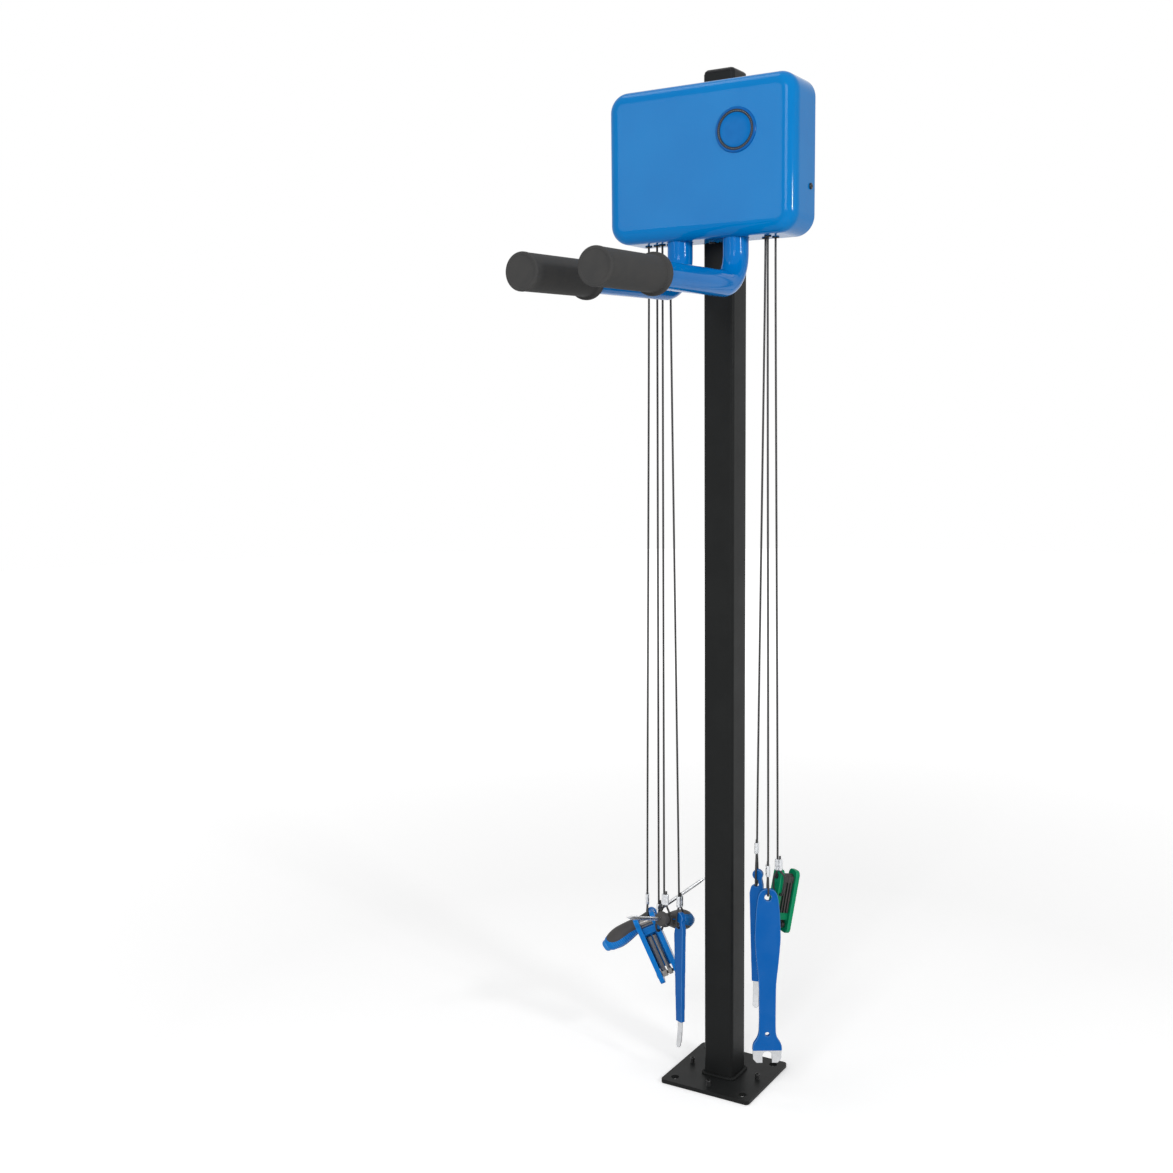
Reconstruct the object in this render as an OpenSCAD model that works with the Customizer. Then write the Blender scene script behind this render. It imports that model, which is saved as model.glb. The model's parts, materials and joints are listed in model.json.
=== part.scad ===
// Bicycle repair station: floor plate, post, covered head with two hanging arms,
// and seven hand tools on steel cables.
// Millimetres. Origin under the middle of the floor plate, X right, Y away, Z up.

/* [Stand] */
// overall height from the floor to the top of the post cap
total_h = 1590; // [1560:5:1640]
// side of the square floor plate
plate_w = 156; // [154:1:180]
// thickness of the floor plate
plate_t = 6.4; // [5:0.2:10]
// spacing of the four floor anchor holes
anchor_pitch = 120; // [112:1:122]
// diameter of the floor anchor holes
anchor_d = 13; // [10:0.5:14]
// side of the square post
post_w = 50.8; // [50:0.2:51]
// wall of the square post
post_wall = 4.8; // [3:0.2:6]

/* [Head] */
// width of the moulded head cover
cover_w = 306; // [300:2:320]
// height of the moulded head cover
cover_h = 224; // [224:2:240]
// wall of the moulded head cover
cover_wall = 3; // [2.4:0.2:3.4]
// diameter of the plain badge
badge_d = 64; // [50:2:70]

/* [Arms] */
// reach of each arm from its drop to the front of the grip
arm_reach = 419; // [380:1:440]
// outside diameter of the arm tube
arm_d = 38.1; // [37.5:0.1:38.3]
// wall of the arm tube
arm_wall = 3; // [2:0.2:4]
// outside diameter of the rubber grip
grip_d = 49; // [47:0.5:52]
// length of the rubber grip
grip_l = 159; // [140:1:170]

/* [Cables] */
// diameter of the coated steel cables
cable_d = 3.2; // [2.8:0.1:3.3]

/* [Hidden] */

$fn = 64;
hull_fn = 32;
over = 1;        // how far a cutter runs past the face it cuts
seam = 0.05;     // radial clearance of a pin in its eye
lap = 1;         // how far a bend reaches into the straight tube beside it
bend_slim = 0.1; // the bend's wall lies this far inside the straight tube's wall

black = [0.10, 0.10, 0.10];
cover_blue = [0.05, 0.42, 0.70];
dark = [0.22, 0.22, 0.22];
steel = [0.75, 0.75, 0.77];
blue = [0.02, 0.25, 0.62];
green = [0.03, 0.50, 0.33];

// the direction in which the photo looks, for the tools that face it
view_yaw = 31.4;

// floor plate
plate_r = 6;
screw_d = 8;
screw_off = 58.8;
screw_low = 0.6;
screw_top = 15.4;
socket_d = 4.6;
socket_depth = 5;

// post
post_r = 6;
cap_t = 6;
cap_w = post_w - 1.4;
cap_chamfer = 3;
cap_leg = 18;
cap_leg_wall = 2;
post_top = total_h - cap_t;
post_in = post_w - 2 * post_wall;
post_front = -post_w / 2;
weld_leg = 5;
weld_lip = 0.6;

// head cover: front, rear rim and inner faces
cover_front = -94.5;
cover_rear = -18.6;
cover_drop = 254.6;   // from the top of the post to the underside of the cover
cover_low = total_h - cover_drop;
cover_mid = cover_low + cover_h / 2;
cover_r = 29;
cover_fillet = 18.5;
notch_gap = 1;
arm_x = 46.2;
arm_y = -60.1;
arm_cut_d = 40;
cover_in_low = cover_low + cover_wall;
cover_in_half = cover_w / 2 - cover_wall;
cover_screw_rise = 67.8;
cover_side_z = cover_low + cover_screw_rise;
cover_screw_y = -36;
cover_screw_x = -4.6;
cover_screw_d = 4.8;
cover_head_d = 9;
cover_head_t = 2.6;

// back plate of the head
bp_t = 4;
bp_front = post_front - bp_t;
bp_gap = 1;
bp_half = cover_in_half - bp_gap;
bp_low = cover_in_low + bp_gap / 2;
bp_high = cover_low + cover_h - cover_wall - bp_gap;
bp_r = 26;
tab_t = 3;
tab_w = 24;
tab_l = 14;

// arm clamp
clamp_rise = 56.6;   // from the underside of the cover
clamp_h = 56;
clamp_low = cover_low + clamp_rise;
clamp_high = clamp_low + clamp_h;
arm_top_gap = 8;     // the tubes end this far below the top of the clamp
arm_top = clamp_high - arm_top_gap;
clamp_half = 100;
clamp_split = 1.6;
clamp_front_y = -84;
bolt_d = 8;
bolt_head_d = 13;
bolt_head_t = 5;
bolt_x = 82;
bolt_edge = 11;
bolt_rows = [clamp_low + bolt_edge, clamp_high - bolt_edge];
bolt_end = 3;
nut_d = 15;
nut_t = 6.5;
head_bolt_low = 36.6;
head_bolt_high = 199.6;
head_rows = [cover_low + head_bolt_low, cover_low + head_bolt_high];

// arms
bend_r = 48;
droop = 0.9;
splay = 1.1;
bend_a = 90 - droop;
corner_drop = 68.4;  // from the underside of the cover to the corner of the bend
corner_z = cover_low - corner_drop;
bend_leg = bend_r * tan(bend_a / 2);
bend_z = corner_z + bend_leg;
grip_end_t = 4;
flange_d = grip_d + 8.6;
flange_t = 8;
flange_r = 2.5;
grip_r = 1.5;

// badge
badge_x = 62;
badge_rise = 147.6;
badge_z = cover_low + badge_rise;
badge_t = 2.5;
badge_rim = 3;
badge_dish = 0.6;

// cable bar and stops
bar_rise = 13.6;
bar_z = cover_low + bar_rise;
bar_t = 3;
bar_half = 125;
bar_front = -66;
bar_notch_d = arm_d + 3;
stop_l = 10;
stop_d = 7;
grommet_d = 8;
grommet_flange_d = 10.6;
grommet_lip = 1.5;
cable_bore = 3.6;
cable_top = bar_z + bar_t + stop_l;
ferrule_h = 17.5;
ferrule_w = 7;
ferrule_span = 5;
strand = 1.9;    // half of the distance between the two strands in a ferrule
tail_l = 5;

// where each cable leaves the head, left to right
exit_l1 = [-110, -42];
exit_l2 = [-94, -45];
exit_l3 = [-82, -50];
exit_l4 = [-73, -42];
exit_r1 = [83, -36];
exit_r2 = [96, -57];
exit_r3 = [100, -38];
exits = [exit_l1, exit_l2, exit_l3, exit_l4, exit_r1, exit_r2, exit_r3];

// where each cable carries its tool
hang_l1 = [-129, -25, 252];
hang_l2 = [-93, -49.5, 245.5];
hang_l3 = [-78, -58, 269.5];
hang_l4 = [-54, -53, 260];
hang_r1 = [65, -19, 341];
hang_r2 = [100.5, -56, 340.5];
hang_r3 = [106.5, -28.5, 334];

// the eyelets of the key sets run slantwise through a corner of the body
eyelet_turn = 45;
set_turn = 22;

// direction of each loop seen from above, and height of its ferrule over the tool
turn_l1 = view_yaw + 90;
turn_l2 = view_yaw + eyelet_turn;
turn_l3 = 0;
turn_l4 = 66;
turn_r1 = -78;
turn_r2 = view_yaw + 90;
turn_r3 = view_yaw + set_turn - eyelet_turn;
rise_l1 = 24;
rise_l2 = 27;
rise_l3 = 24;
rise_l4 = 33;
rise_r1 = 50;
rise_r2 = 30;
rise_r3 = 39;

// loop routes in the plane of the loop: along, across, up
neck_loop = [[-11.6, 0, 0], [-8.2, -2.6, -7.8], [0, -3.7, -11], [8.2, -2.6, -7.8], [11.6, 0, 0]];
lean_loop = [[-12, 0, 0], [-8.5, -4.8, -7], [0, -6.9, -9.9], [8.5, -4.8, -7], [12, 0, 0]];
wall_loop = [[-8.8, 0, 10], [-5.4, 0, 0], [5.4, 0, 0], [8.8, 0, 10]];
star_loop = [[-8, 0, 24], [-5.4, 0, 0], [5.4, -0.4, 0], [9.4, -0.4, 29]];
hole_loop = [[-8, 0, 5], [-4.5, 0, 0], [4.5, 0, 0], [8, 0, 5]];
hook_loop = [[-6.6, 0, 22], [-5.8, 0, 0], [5.8, 0, 0], [6.6, 0, 22]];

// screwdrivers: shares of the largest radius and of the length from the nose
driver_r = 16.5;
driver_l = 100;
driver_cap_l = 7;
driver_shares = [
  [0, 0], [0.364, 0], [0.606, 0.025], [0.727, 0.06], [0.703, 0.09], [0.545, 0.13], [0.545, 0.25],
  [0.667, 0.36], [0.873, 0.54], [0.982, 0.68], [1, 0.76], [0.945, 0.85], [0.764, 0.96], [0.606, 1], [0, 1]
];
driver_cap_shares = [[0, 0], [0.606, 0], [0.558, 0.57], [0.394, 1], [0, 1]];
driver_neck = 19;
driver_blade_d = 6;
driver_blade_l = 100;
driver_core_l = 60;
driver_tip_l = 14;
driver_edge = 0.8;
flute_lean = 8;
flute_share = 0.9;
driver_a_yaw = view_yaw;
driver_a_pitch = 35;
driver_b_yaw = -92.3;
driver_b_pitch = 18.4;

// folding key sets
pin_d = 5;
pin_head_d = 9;
pin_head_t = 1.5;
eye_r = 5;
hex_w = 37;
hex_l = 119;
hex_t = 26;
hex_wall = 8;
hex_lean = -23;
star_w = 34;
star_l = 101;
star_t = 24;
star_wall = 6.5;
star_lean = 11;
star_yaw = view_yaw + set_turn;
set_r = 8;
web_front = -0.9;
web_back = 2.4;
web_gap = 10.5;
block_front = -5.4;
block_gap = 8.5;
block_l = 11.5;
eyelet_in = 2.6;
eyelet_d = 4.8;
hex_eyelet_z = 28;
star_eyelet_z = 12;
key_off = 6;
eye_t = 5;
star_eye_t = 4.8;
hex_sizes = [8, 6, 5, 4, 3, 2.5];
hex_front_x = [-5.5, 4];
hex_pitch = 5.2;
star_front_sizes = [3, 3.4, 3.8, 4.4];
star_front_pitch = 5;
star_rear_sizes = [3.8, 4.4, 5];
star_rear_pitch = 6.6;
neck_low = 2;
neck_up = 8;
hex_key_front_l = 70;
hex_key_back_l = 74;
star_key_front_l = 56;
star_key_back_l = 62;

// tyre levers
lever_t = 8;
lever_core_t = 3.5;
lever_w = 22;
lever_end_w = 14;
lever_head_r = 8.5;
lever_head_x = 2;
lever_head_z = 15.5;
// shoulder, throat and back of the hook, as shares of half of the width
lever_hook_shares = [
  [-1, -1.364], [-0.773, -0.364], [-0.455, -0.136], [0.273, 0.273], [0.364, 1.09], [0.455, 1.545],
  [0.682, 1.364], [1, -0.182]
];
lever_low = -160;
lever_hole_d = 8;
lever_mouth = 4;
lever_mouth_turn = -148;
lever_tip_w = 10;
lever_tip_low = -196;
lever_tip_end = -203;
lever_tip_off = 4;
lever_bend_low = 12;   // the bar starts to bend this far below the sleeve
lever_bend_front = 6;  // and ends its bend this far above the tip
lever_bend_back = 4;
lever_core_low = -60;
lever_left_yaw = -24;
lever_right_yaw = 12;

// pedal wrench, measured from the hang hole
wrench_t = 8;
wrench_core_t = 5;
wrench_hole_d = 11;
wrench_hang = 3.7;
wrench_half_w = 23.2;
wrench_sleeve_l = 248;
wrench_core_l = 268;
// right half of the outline, as shares of the half width and of the length below the hole
wrench_shares = [
  [0.28, 0.054], [0.474, 0.0444], [0.625, 0.0161], [0.797, -0.1008], [0.862, -0.25],
  [0.841, -0.3024], [0.733, -0.4234], [0.586, -0.5645], [0.569, -0.8669], [0.647, -0.9113],
  [0.948, -0.9597], [1, -1]
];
wrench_core_shares = [
  [0.345, -0.0746], [0.56, -0.1493], [0.647, -0.2313], [0.517, -0.3918], [0.4095, -0.5224],
  [0.4095, -0.8134], [0.776, -0.8881], [0.974, -0.9254], [0.948, -0.9776], [0.711, -1]
];
wrench_notch = 15;
wrench_notch_top = -257;
wrench_small_d = 7;
wrench_small_z = -221;

// plain shapes

module rounded(w, d, r) {
  square([w - 2 * r, d], center = true);
  square([w, d - 2 * r], center = true);
  for (sx = [-1, 1], sy = [-1, 1])
    translate([sx * (w / 2 - r), sy * (d / 2 - r)]) circle(r);
}

// a flat slab standing in the XZ plane, its front face at y0
module upright(y0, t) {
  translate([0, y0 + t, 0]) rotate([90, 0, 0]) linear_extrude(t) children();
}

module rod_y(x, y0, y1, z, d) {
  translate([x, y1, z]) rotate([90, 0, 0]) cylinder(h = y1 - y0, d = d);
}

module hex_y(x, y0, y1, z, d) {
  translate([x, y1, z]) rotate([90, 0, 0]) cylinder(h = y1 - y0, d = d, $fn = 6);
}

// cords: rings of eight points swept along a route

function unit(v) = v / norm(v);
function cord_dir(p, i) = unit(p[min(i + 1, len(p) - 1)] - p[max(i - 1, 0)]);
function cord_ring(c, dir, side, r) =
  let (u = unit(cross(dir, side)), v = cross(u, dir))
  [for (k = [0:7]) c + r * cos(k * 45) * u + r * sin(k * 45) * v];

module cord(p, side, r) {
  n = len(p);
  pts = [for (i = [0:n - 1]) each cord_ring(p[i], cord_dir(p, i), side, r)];
  bottom = [[for (k = [7:-1:0]) k]];
  top = [[for (k = [0:7]) (n - 1) * 8 + k]];
  skin = [for (i = [0:n - 2], k = [0:7])
    [i * 8 + k, i * 8 + (k + 1) % 8, (i + 1) * 8 + (k + 1) % 8, (i + 1) * 8 + k]];
  polyhedron(points = pts, faces = concat(bottom, skin, top), convexity = 10);
}

function flat(a, p) = [cos(a) * p[0] - sin(a) * p[1], sin(a) * p[0] + cos(a) * p[1], p[2]];

function cable_route(leave, hang, turn, rise, loop) = concat(
  [[leave[0], leave[1], cable_top], [leave[0], leave[1], cover_low - grommet_lip]],
  [hang + flat(turn, [-strand, 0, rise + ferrule_h]), hang + flat(turn, [-strand, 0, rise])],
  [for (p = loop) hang + flat(turn, p)],
  [hang + flat(turn, [strand, 0, rise]), hang + flat(turn, [strand, 0, rise + ferrule_h + tail_l])]
);

module cable(leave, hang, turn, rise, loop) {
  color(black)
    cord(cable_route(leave, hang, turn, rise, loop), flat(turn, [0, 1, 0]), cable_d / 2);
}

module ferrule(hang, turn, rise) {
  translate(hang + [0, 0, rise]) rotate([0, 0, turn]) difference() {
    linear_extrude(ferrule_h) {
      square([ferrule_span, ferrule_w], center = true);
      for (s = [-1, 1]) translate([s * ferrule_span / 2, 0]) circle(d = ferrule_w);
    }
    for (s = [-1, 1]) translate([s * strand, 0, -over])
      cylinder(h = ferrule_h + 2 * over, d = cable_bore);
  }
}

// stand

module base_plate() {
  color(black) difference() {
    linear_extrude(plate_t) rounded(plate_w, plate_w, plate_r);
    for (sx = [-1, 1], sy = [-1, 1])
      translate([sx * anchor_pitch / 2, sy * anchor_pitch / 2, -over])
        cylinder(h = plate_t + 2 * over, d = anchor_d);
    for (a = [0:90:270]) rotate([0, 0, a]) translate([screw_off, 0, -over])
      cylinder(h = plate_t + 2 * over, d = screw_d);
  }
}

module levelling_screws() {
  color(dark) for (a = [0:90:270]) rotate([0, 0, a]) translate([screw_off, 0, 0]) difference() {
    translate([0, 0, screw_low]) cylinder(h = screw_top - screw_low, d = screw_d);
    translate([0, 0, screw_top - socket_depth])
      cylinder(h = socket_depth + over, d = socket_d, $fn = 6);
  }
}

module post() {
  color(black) difference() {
    translate([0, 0, plate_t]) linear_extrude(post_top - plate_t) difference() {
      rounded(post_w, post_w, post_r);
      square(post_in, center = true);
    }
    for (z = concat(head_rows, bolt_rows))
      rod_y(0, post_front - over, post_front + post_wall + over, z, bolt_d);
  }
}

module foot_weld() {
  color(black) difference() {
    hull() {
      translate([0, 0, plate_t]) linear_extrude(weld_lip)
        rounded(post_w + 2 * weld_leg, post_w + 2 * weld_leg, post_r + weld_leg, $fn = hull_fn);
      translate([0, 0, plate_t + weld_leg]) linear_extrude(weld_lip)
        rounded(post_w + weld_lip, post_w + weld_lip, post_r, $fn = hull_fn);
    }
    translate([0, 0, plate_t - over]) linear_extrude(weld_leg + weld_lip + 2 * over)
      rounded(post_w, post_w, post_r);
  }
}

module post_cap() {
  color(dark) {
    hull() {
      translate([0, 0, post_top]) linear_extrude(cap_t - cap_chamfer)
        rounded(cap_w, cap_w, post_r, $fn = hull_fn);
      translate([0, 0, total_h - weld_lip]) linear_extrude(weld_lip)
        rounded(cap_w - 2 * cap_chamfer, cap_w - 2 * cap_chamfer, post_r - cap_chamfer / 2,
          $fn = hull_fn);
    }
    translate([0, 0, post_top - cap_leg]) linear_extrude(cap_leg) difference() {
      square(post_in, center = true);
      square(post_in - 2 * cap_leg_wall, center = true);
    }
  }
}

// head

module cover_outline(w, h, r) {
  translate([0, cover_mid]) rounded(w, h, r);
}

// the outer or the inner form of the cover, its front edge rounded
module cover_form(inset, rear) {
  w = cover_w - 2 * inset;
  h = cover_h - 2 * inset;
  ring = cover_r - cover_fillet;
  edge = cover_fillet - inset;
  y = cover_front + cover_fillet;
  hull() {
    upright(y, rear - y) cover_outline(w, h, ring + edge, $fn = hull_fn);
    for (sx = [-1, 1], sz = [-1, 1])
      translate([sx * (w / 2 - ring - edge), y, cover_mid + sz * (h / 2 - ring - edge)])
        rotate([90, 0, 0]) rotate_extrude($fn = hull_fn) translate([ring, 0])
          intersection() {
            circle(edge, $fn = hull_fn);
            square(2 * edge);
          }
  }
}

module head_cover() {
  color(cover_blue) difference() {
    cover_form(0, cover_rear);
    cover_form(cover_wall, cover_rear + over);
    translate([post_front - notch_gap, post_front - notch_gap, cover_low - over])
      cube([post_w + 2 * notch_gap, post_w, cover_h + 2 * over]);
    for (sx = [-1, 1]) translate([sx * arm_x, arm_y, cover_low - over])
      cylinder(h = cover_wall + 2 * over, d = arm_cut_d);
    for (e = exits) translate([e[0], e[1], cover_low - over])
      cylinder(h = cover_wall + 2 * over, d = grommet_d);
    translate([cover_screw_x, cover_screw_y, cover_low - over])
      cylinder(h = cover_wall + 2 * over, d = cover_screw_d);
    translate([-cover_w / 2 - over, cover_screw_y, cover_side_z]) rotate([0, 90, 0])
      cylinder(h = cover_w + 2 * over, d = cover_screw_d);
  }
}

module back_plate() {
  color(dark) difference() {
    union() {
      upright(bp_front, bp_t) translate([0, (bp_low + bp_high) / 2])
        rounded(2 * bp_half, bp_high - bp_low, bp_r);
      for (sx = [-1, 1])
        translate([sx * (cover_in_half - tab_t / 2), bp_front - tab_l / 2 + bp_t / 2, cover_side_z])
          cube([tab_t, tab_l + bp_t, tab_w], center = true);
      translate([cover_screw_x - tab_w / 2, bp_front - tab_l, cover_in_low])
        cube([tab_w, tab_l + bp_t, tab_t]);
    }
    for (z = concat(head_rows, bolt_rows)) rod_y(0, bp_front - over, post_front + over, z, bolt_d);
    for (sx = [-1, 1], z = bolt_rows)
      rod_y(sx * bolt_x, bp_front - over, post_front + over, z, bolt_d);
    translate([cover_screw_x, cover_screw_y, cover_in_low - over])
      cylinder(h = tab_t + 2 * over, d = cover_screw_d);
    translate([-cover_w / 2 - over, cover_screw_y, cover_side_z]) rotate([0, 90, 0])
      cylinder(h = cover_w + 2 * over, d = cover_screw_d);
  }
}

module head_bolts() {
  color(steel) for (z = head_rows) {
    rod_y(0, bp_front, post_front + post_wall + nut_t + bolt_end, z, bolt_d);
    hex_y(0, bp_front - bolt_head_t, bp_front, z, bolt_head_d);
  }
}

module frame_nuts() {
  color(steel) {
    for (z = concat(head_rows, bolt_rows)) difference() {
      hex_y(0, post_front + post_wall, post_front + post_wall + nut_t, z, nut_d);
      rod_y(0, post_front, post_front + post_w / 2, z, bolt_d);
    }
    for (sx = [-1, 1], z = bolt_rows) difference() {
      hex_y(sx * bolt_x, post_front, post_front + nut_t, z, nut_d);
      rod_y(sx * bolt_x, post_front - over, post_front + nut_t + over, z, bolt_d);
    }
  }
}

module pan_screw(length) {
  translate([0, 0, -length]) cylinder(h = length, d = cover_screw_d);
  difference() {
    cylinder(h = cover_head_t, d = cover_head_d);
    translate([0, 0, cover_head_t / 2]) cylinder(h = cover_head_t, d = cover_head_d / 3, $fn = 6);
  }
}

module cover_screws() {
  color(black) {
    for (sx = [-1, 1]) translate([sx * cover_w / 2, cover_screw_y, cover_side_z])
      rotate([0, sx * 90, 0]) pan_screw(cover_wall + tab_t + bp_gap);
    translate([cover_screw_x, cover_screw_y, cover_low]) rotate([180, 0, 0])
      pan_screw(cover_wall + tab_t + bp_gap);
  }
}

// arms

// places a child drawn along +X at the end of an arm bend
module along_arm(side) {
  translate([side * arm_x, arm_y, bend_z]) rotate([0, 0, -90 + side * splay])
    translate([bend_r - bend_r * cos(bend_a), 0, -bend_r * sin(bend_a)]) rotate([0, droop, 0])
      children();
}

arm_run = arm_reach / cos(droop) - bend_leg;
lap_a = lap / bend_r * 180 / PI;

module arm(side) {
  color(cover_blue) {
    translate([side * arm_x, arm_y, bend_z]) linear_extrude(arm_top - bend_z) difference() {
      circle(d = arm_d);
      circle(d = arm_d - 2 * arm_wall);
    }
    translate([side * arm_x, arm_y, bend_z]) rotate([0, 0, -90 + side * splay])
      translate([bend_r, 0, 0]) rotate([90, 0, 0]) rotate([0, 0, 180 - lap_a])
        rotate_extrude(angle = bend_a + 2 * lap_a) translate([bend_r, 0]) difference() {
          circle(d = arm_d - 2 * bend_slim);
          circle(d = arm_d - 2 * arm_wall + 2 * bend_slim);
        }
    along_arm(side) rotate([0, 90, 0]) linear_extrude(arm_run - grip_end_t) difference() {
      circle(d = arm_d);
      circle(d = arm_d - 2 * arm_wall);
    }
  }
}

module grip(side) {
  color(dark) along_arm(side) rotate([0, 90, 0]) rotate_extrude() difference() {
    union() {
      translate([0, arm_run - grip_l]) square([grip_d / 2, grip_l - grip_r]);
      translate([0, arm_run - grip_l]) square([grip_d / 2 - grip_r, grip_l]);
      translate([grip_d / 2 - grip_r, arm_run - grip_r]) circle(grip_r);
      translate([0, arm_run - grip_l]) square([flange_d / 2 - flange_r, flange_t]);
      translate([0, arm_run - grip_l + flange_r])
        square([flange_d / 2, flange_t - 2 * flange_r]);
      for (u = [flange_r, flange_t - flange_r])
        translate([flange_d / 2 - flange_r, arm_run - grip_l + u]) circle(flange_r);
    }
    translate([0, arm_run - grip_l - over]) square([arm_d / 2, grip_l - grip_end_t + over]);
    translate([-grip_d, 0]) square([grip_d, 2 * arm_run]);
  }
}

module clamp_block(y0, y1) {
  difference() {
    translate([-clamp_half, y0, clamp_low])
      cube([2 * clamp_half, y1 - y0, clamp_high - clamp_low]);
    for (sx = [-1, 1]) translate([sx * arm_x, arm_y, clamp_low - over])
      cylinder(h = clamp_high - clamp_low + 2 * over, d = arm_d);
    for (x = [-bolt_x, 0, bolt_x], z = bolt_rows) rod_y(x, y0 - over, y1 + over, z, bolt_d);
  }
}

module clamp_rear() {
  color(steel) clamp_block(arm_y + clamp_split, bp_front);
}

module clamp_front() {
  color(steel) clamp_block(clamp_front_y, arm_y - clamp_split);
}

module clamp_bolts() {
  color(dark) for (x = [-bolt_x, 0, bolt_x], z = bolt_rows) {
    reach = x == 0 ? post_wall : 0;
    rod_y(x, clamp_front_y, post_front + reach + nut_t + bolt_end, z, bolt_d);
    hex_y(x, clamp_front_y - bolt_head_t, clamp_front_y, z, bolt_head_d);
  }
}

module badge_plate() {
  color(steel) translate([badge_x, cover_front, badge_z]) rotate([90, 0, 0]) difference() {
    cylinder(h = badge_t, d = badge_d);
    translate([0, 0, badge_t - badge_dish])
      cylinder(h = badge_dish + over, d = badge_d - 2 * badge_rim);
  }
}

// cable bar, stops and grommets

module cable_bar() {
  color(dark) translate([0, 0, bar_z]) linear_extrude(bar_t) difference() {
    translate([-bar_half, bar_front]) square([2 * bar_half, bp_front - bar_front]);
    for (sx = [-1, 1]) translate([sx * arm_x, arm_y]) circle(d = bar_notch_d);
    for (e = exits) translate(e) circle(d = cable_bore);
  }
}

module cable_stops() {
  color(steel) for (e = exits) translate([e[0], e[1], bar_z + bar_t])
    linear_extrude(stop_l) difference() {
      circle(d = stop_d);
      circle(d = cable_d);
    }
}

module cable_grommets() {
  color(black) for (e = exits) translate([e[0], e[1], cover_low]) difference() {
    union() {
      translate([0, 0, -grommet_lip]) cylinder(h = grommet_lip, d = grommet_flange_d);
      cylinder(h = cover_wall, d = grommet_d);
      translate([0, 0, cover_wall]) cylinder(h = grommet_lip, d = grommet_flange_d);
    }
    translate([0, 0, -2 * grommet_lip]) cylinder(h = cover_wall + 4 * grommet_lip, d = cable_bore);
  }
}

module cable_ferrules() {
  color(steel) {
    ferrule(hang_l1, turn_l1, rise_l1);
    ferrule(hang_l2, turn_l2, rise_l2);
    ferrule(hang_l3, turn_l3, rise_l3);
    ferrule(hang_l4, turn_l4, rise_l4);
    ferrule(hang_r1, turn_r1, rise_r1);
    ferrule(hang_r2, turn_r2, rise_r2);
    ferrule(hang_r3, turn_r3, rise_r3);
  }
}

// screwdrivers: the nose points along the local X axis, the neck sits at the origin

module driver_place(hang, yaw, pitch) {
  translate(hang) rotate([0, 0, yaw]) rotate([0, -pitch, 0])
    translate([driver_neck, 0, 0]) rotate([0, -90, 0]) children();
}

module driver_handle() {
  difference() {
    rotate_extrude() polygon([for (p = driver_shares) [p[0] * driver_r, p[1] * driver_l]]);
    translate([0, 0, -over]) cylinder(h = driver_core_l + over, d = driver_blade_d);
  }
}

module driver_cap() {
  translate([0, 0, driver_l])
    rotate_extrude() polygon([for (p = driver_cap_shares) [p[0] * driver_r, p[1] * driver_cap_l]]);
}

module driver_rod() {
  translate([0, 0, driver_tip_l - driver_blade_l])
    cylinder(h = driver_blade_l - driver_tip_l + driver_core_l, d = driver_blade_d);
}

// cross-point blade: a cone with four flutes
module cross_blade() {
  driver_rod();
  translate([0, 0, -driver_blade_l]) difference() {
    cylinder(h = driver_tip_l, d1 = driver_blade_d / 3, d2 = driver_blade_d);
    for (a = [45:90:315]) rotate([0, 0, a]) translate([driver_blade_d / 5, 0, -over])
      rotate([0, flute_lean, 0]) translate([0, -driver_blade_d / 10, 0])
        cube([driver_blade_d, driver_blade_d / 5, driver_tip_l * flute_share]);
  }
}

// slotted blade: the rod ends in a flat wedge
module flat_blade() {
  driver_rod();
  translate([0, 0, -driver_blade_l]) rotate([90, 0, 0])
    linear_extrude(driver_blade_d, center = true) polygon([
      [-driver_edge / 2, 0], [driver_edge / 2, 0],
      [driver_blade_d / 2, driver_tip_l], [-driver_blade_d / 2, driver_tip_l]
    ]);
}

module driver_a_handle() {
  color(dark) driver_place(hang_l1, driver_a_yaw, driver_a_pitch) driver_handle();
}
module driver_a_cap() {
  color(blue) driver_place(hang_l1, driver_a_yaw, driver_a_pitch) driver_cap();
}
module driver_a_blade() {
  color(steel) driver_place(hang_l1, driver_a_yaw, driver_a_pitch) cross_blade();
}
module driver_b_handle() {
  color(dark) driver_place(hang_l3, driver_b_yaw, driver_b_pitch) driver_handle();
}
module driver_b_cap() {
  color(blue) driver_place(hang_l3, driver_b_yaw, driver_b_pitch) driver_cap();
}
module driver_b_blade() {
  color(steel) driver_place(hang_l3, driver_b_yaw, driver_b_pitch) flat_blade();
}

// folding key sets: local frame in the middle of the body, X wide, Y back, Z long

module set_place(hang, yaw, lean, eyelet) {
  translate(hang) rotate([0, 0, yaw]) rotate([0, lean, 0]) translate(-eyelet) children();
}

module set_wall(x, t, depth, length) {
  translate([x - t / 2, 0, 0]) rotate([90, 0, 90]) linear_extrude(t)
    rounded(depth, length, set_r);
}

module set_body(w, t, length, wall, eyelet, lean, hand, block_side) {
  pivot = length / 2 - t / 2;
  difference() {
    union() {
      for (s = [-1, 1]) set_wall(s * (w / 2 - wall / 2), wall, t, length);
      translate([-w / 2 + wall / 2, web_front, -pivot + web_gap])
        cube([w - wall, web_back - web_front, 2 * pivot - 2 * web_gap]);
      translate([0, (block_front + web_back) / 2, block_side * (pivot - block_gap - block_l / 2)])
        cube([w - wall, web_back - block_front, block_l], center = true);
    }
    for (s = [-1, 1]) translate([-w / 2 - over, 0, s * pivot]) rotate([0, 90, 0])
      cylinder(h = w + 2 * over, d = pin_d);
    translate(eyelet) rotate([0, -lean, 0]) rotate([0, 0, hand * eyelet_turn]) rotate([0, 90, 0])
      cylinder(h = 2 * web_gap, d = eyelet_d, center = true);
  }
}

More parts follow.
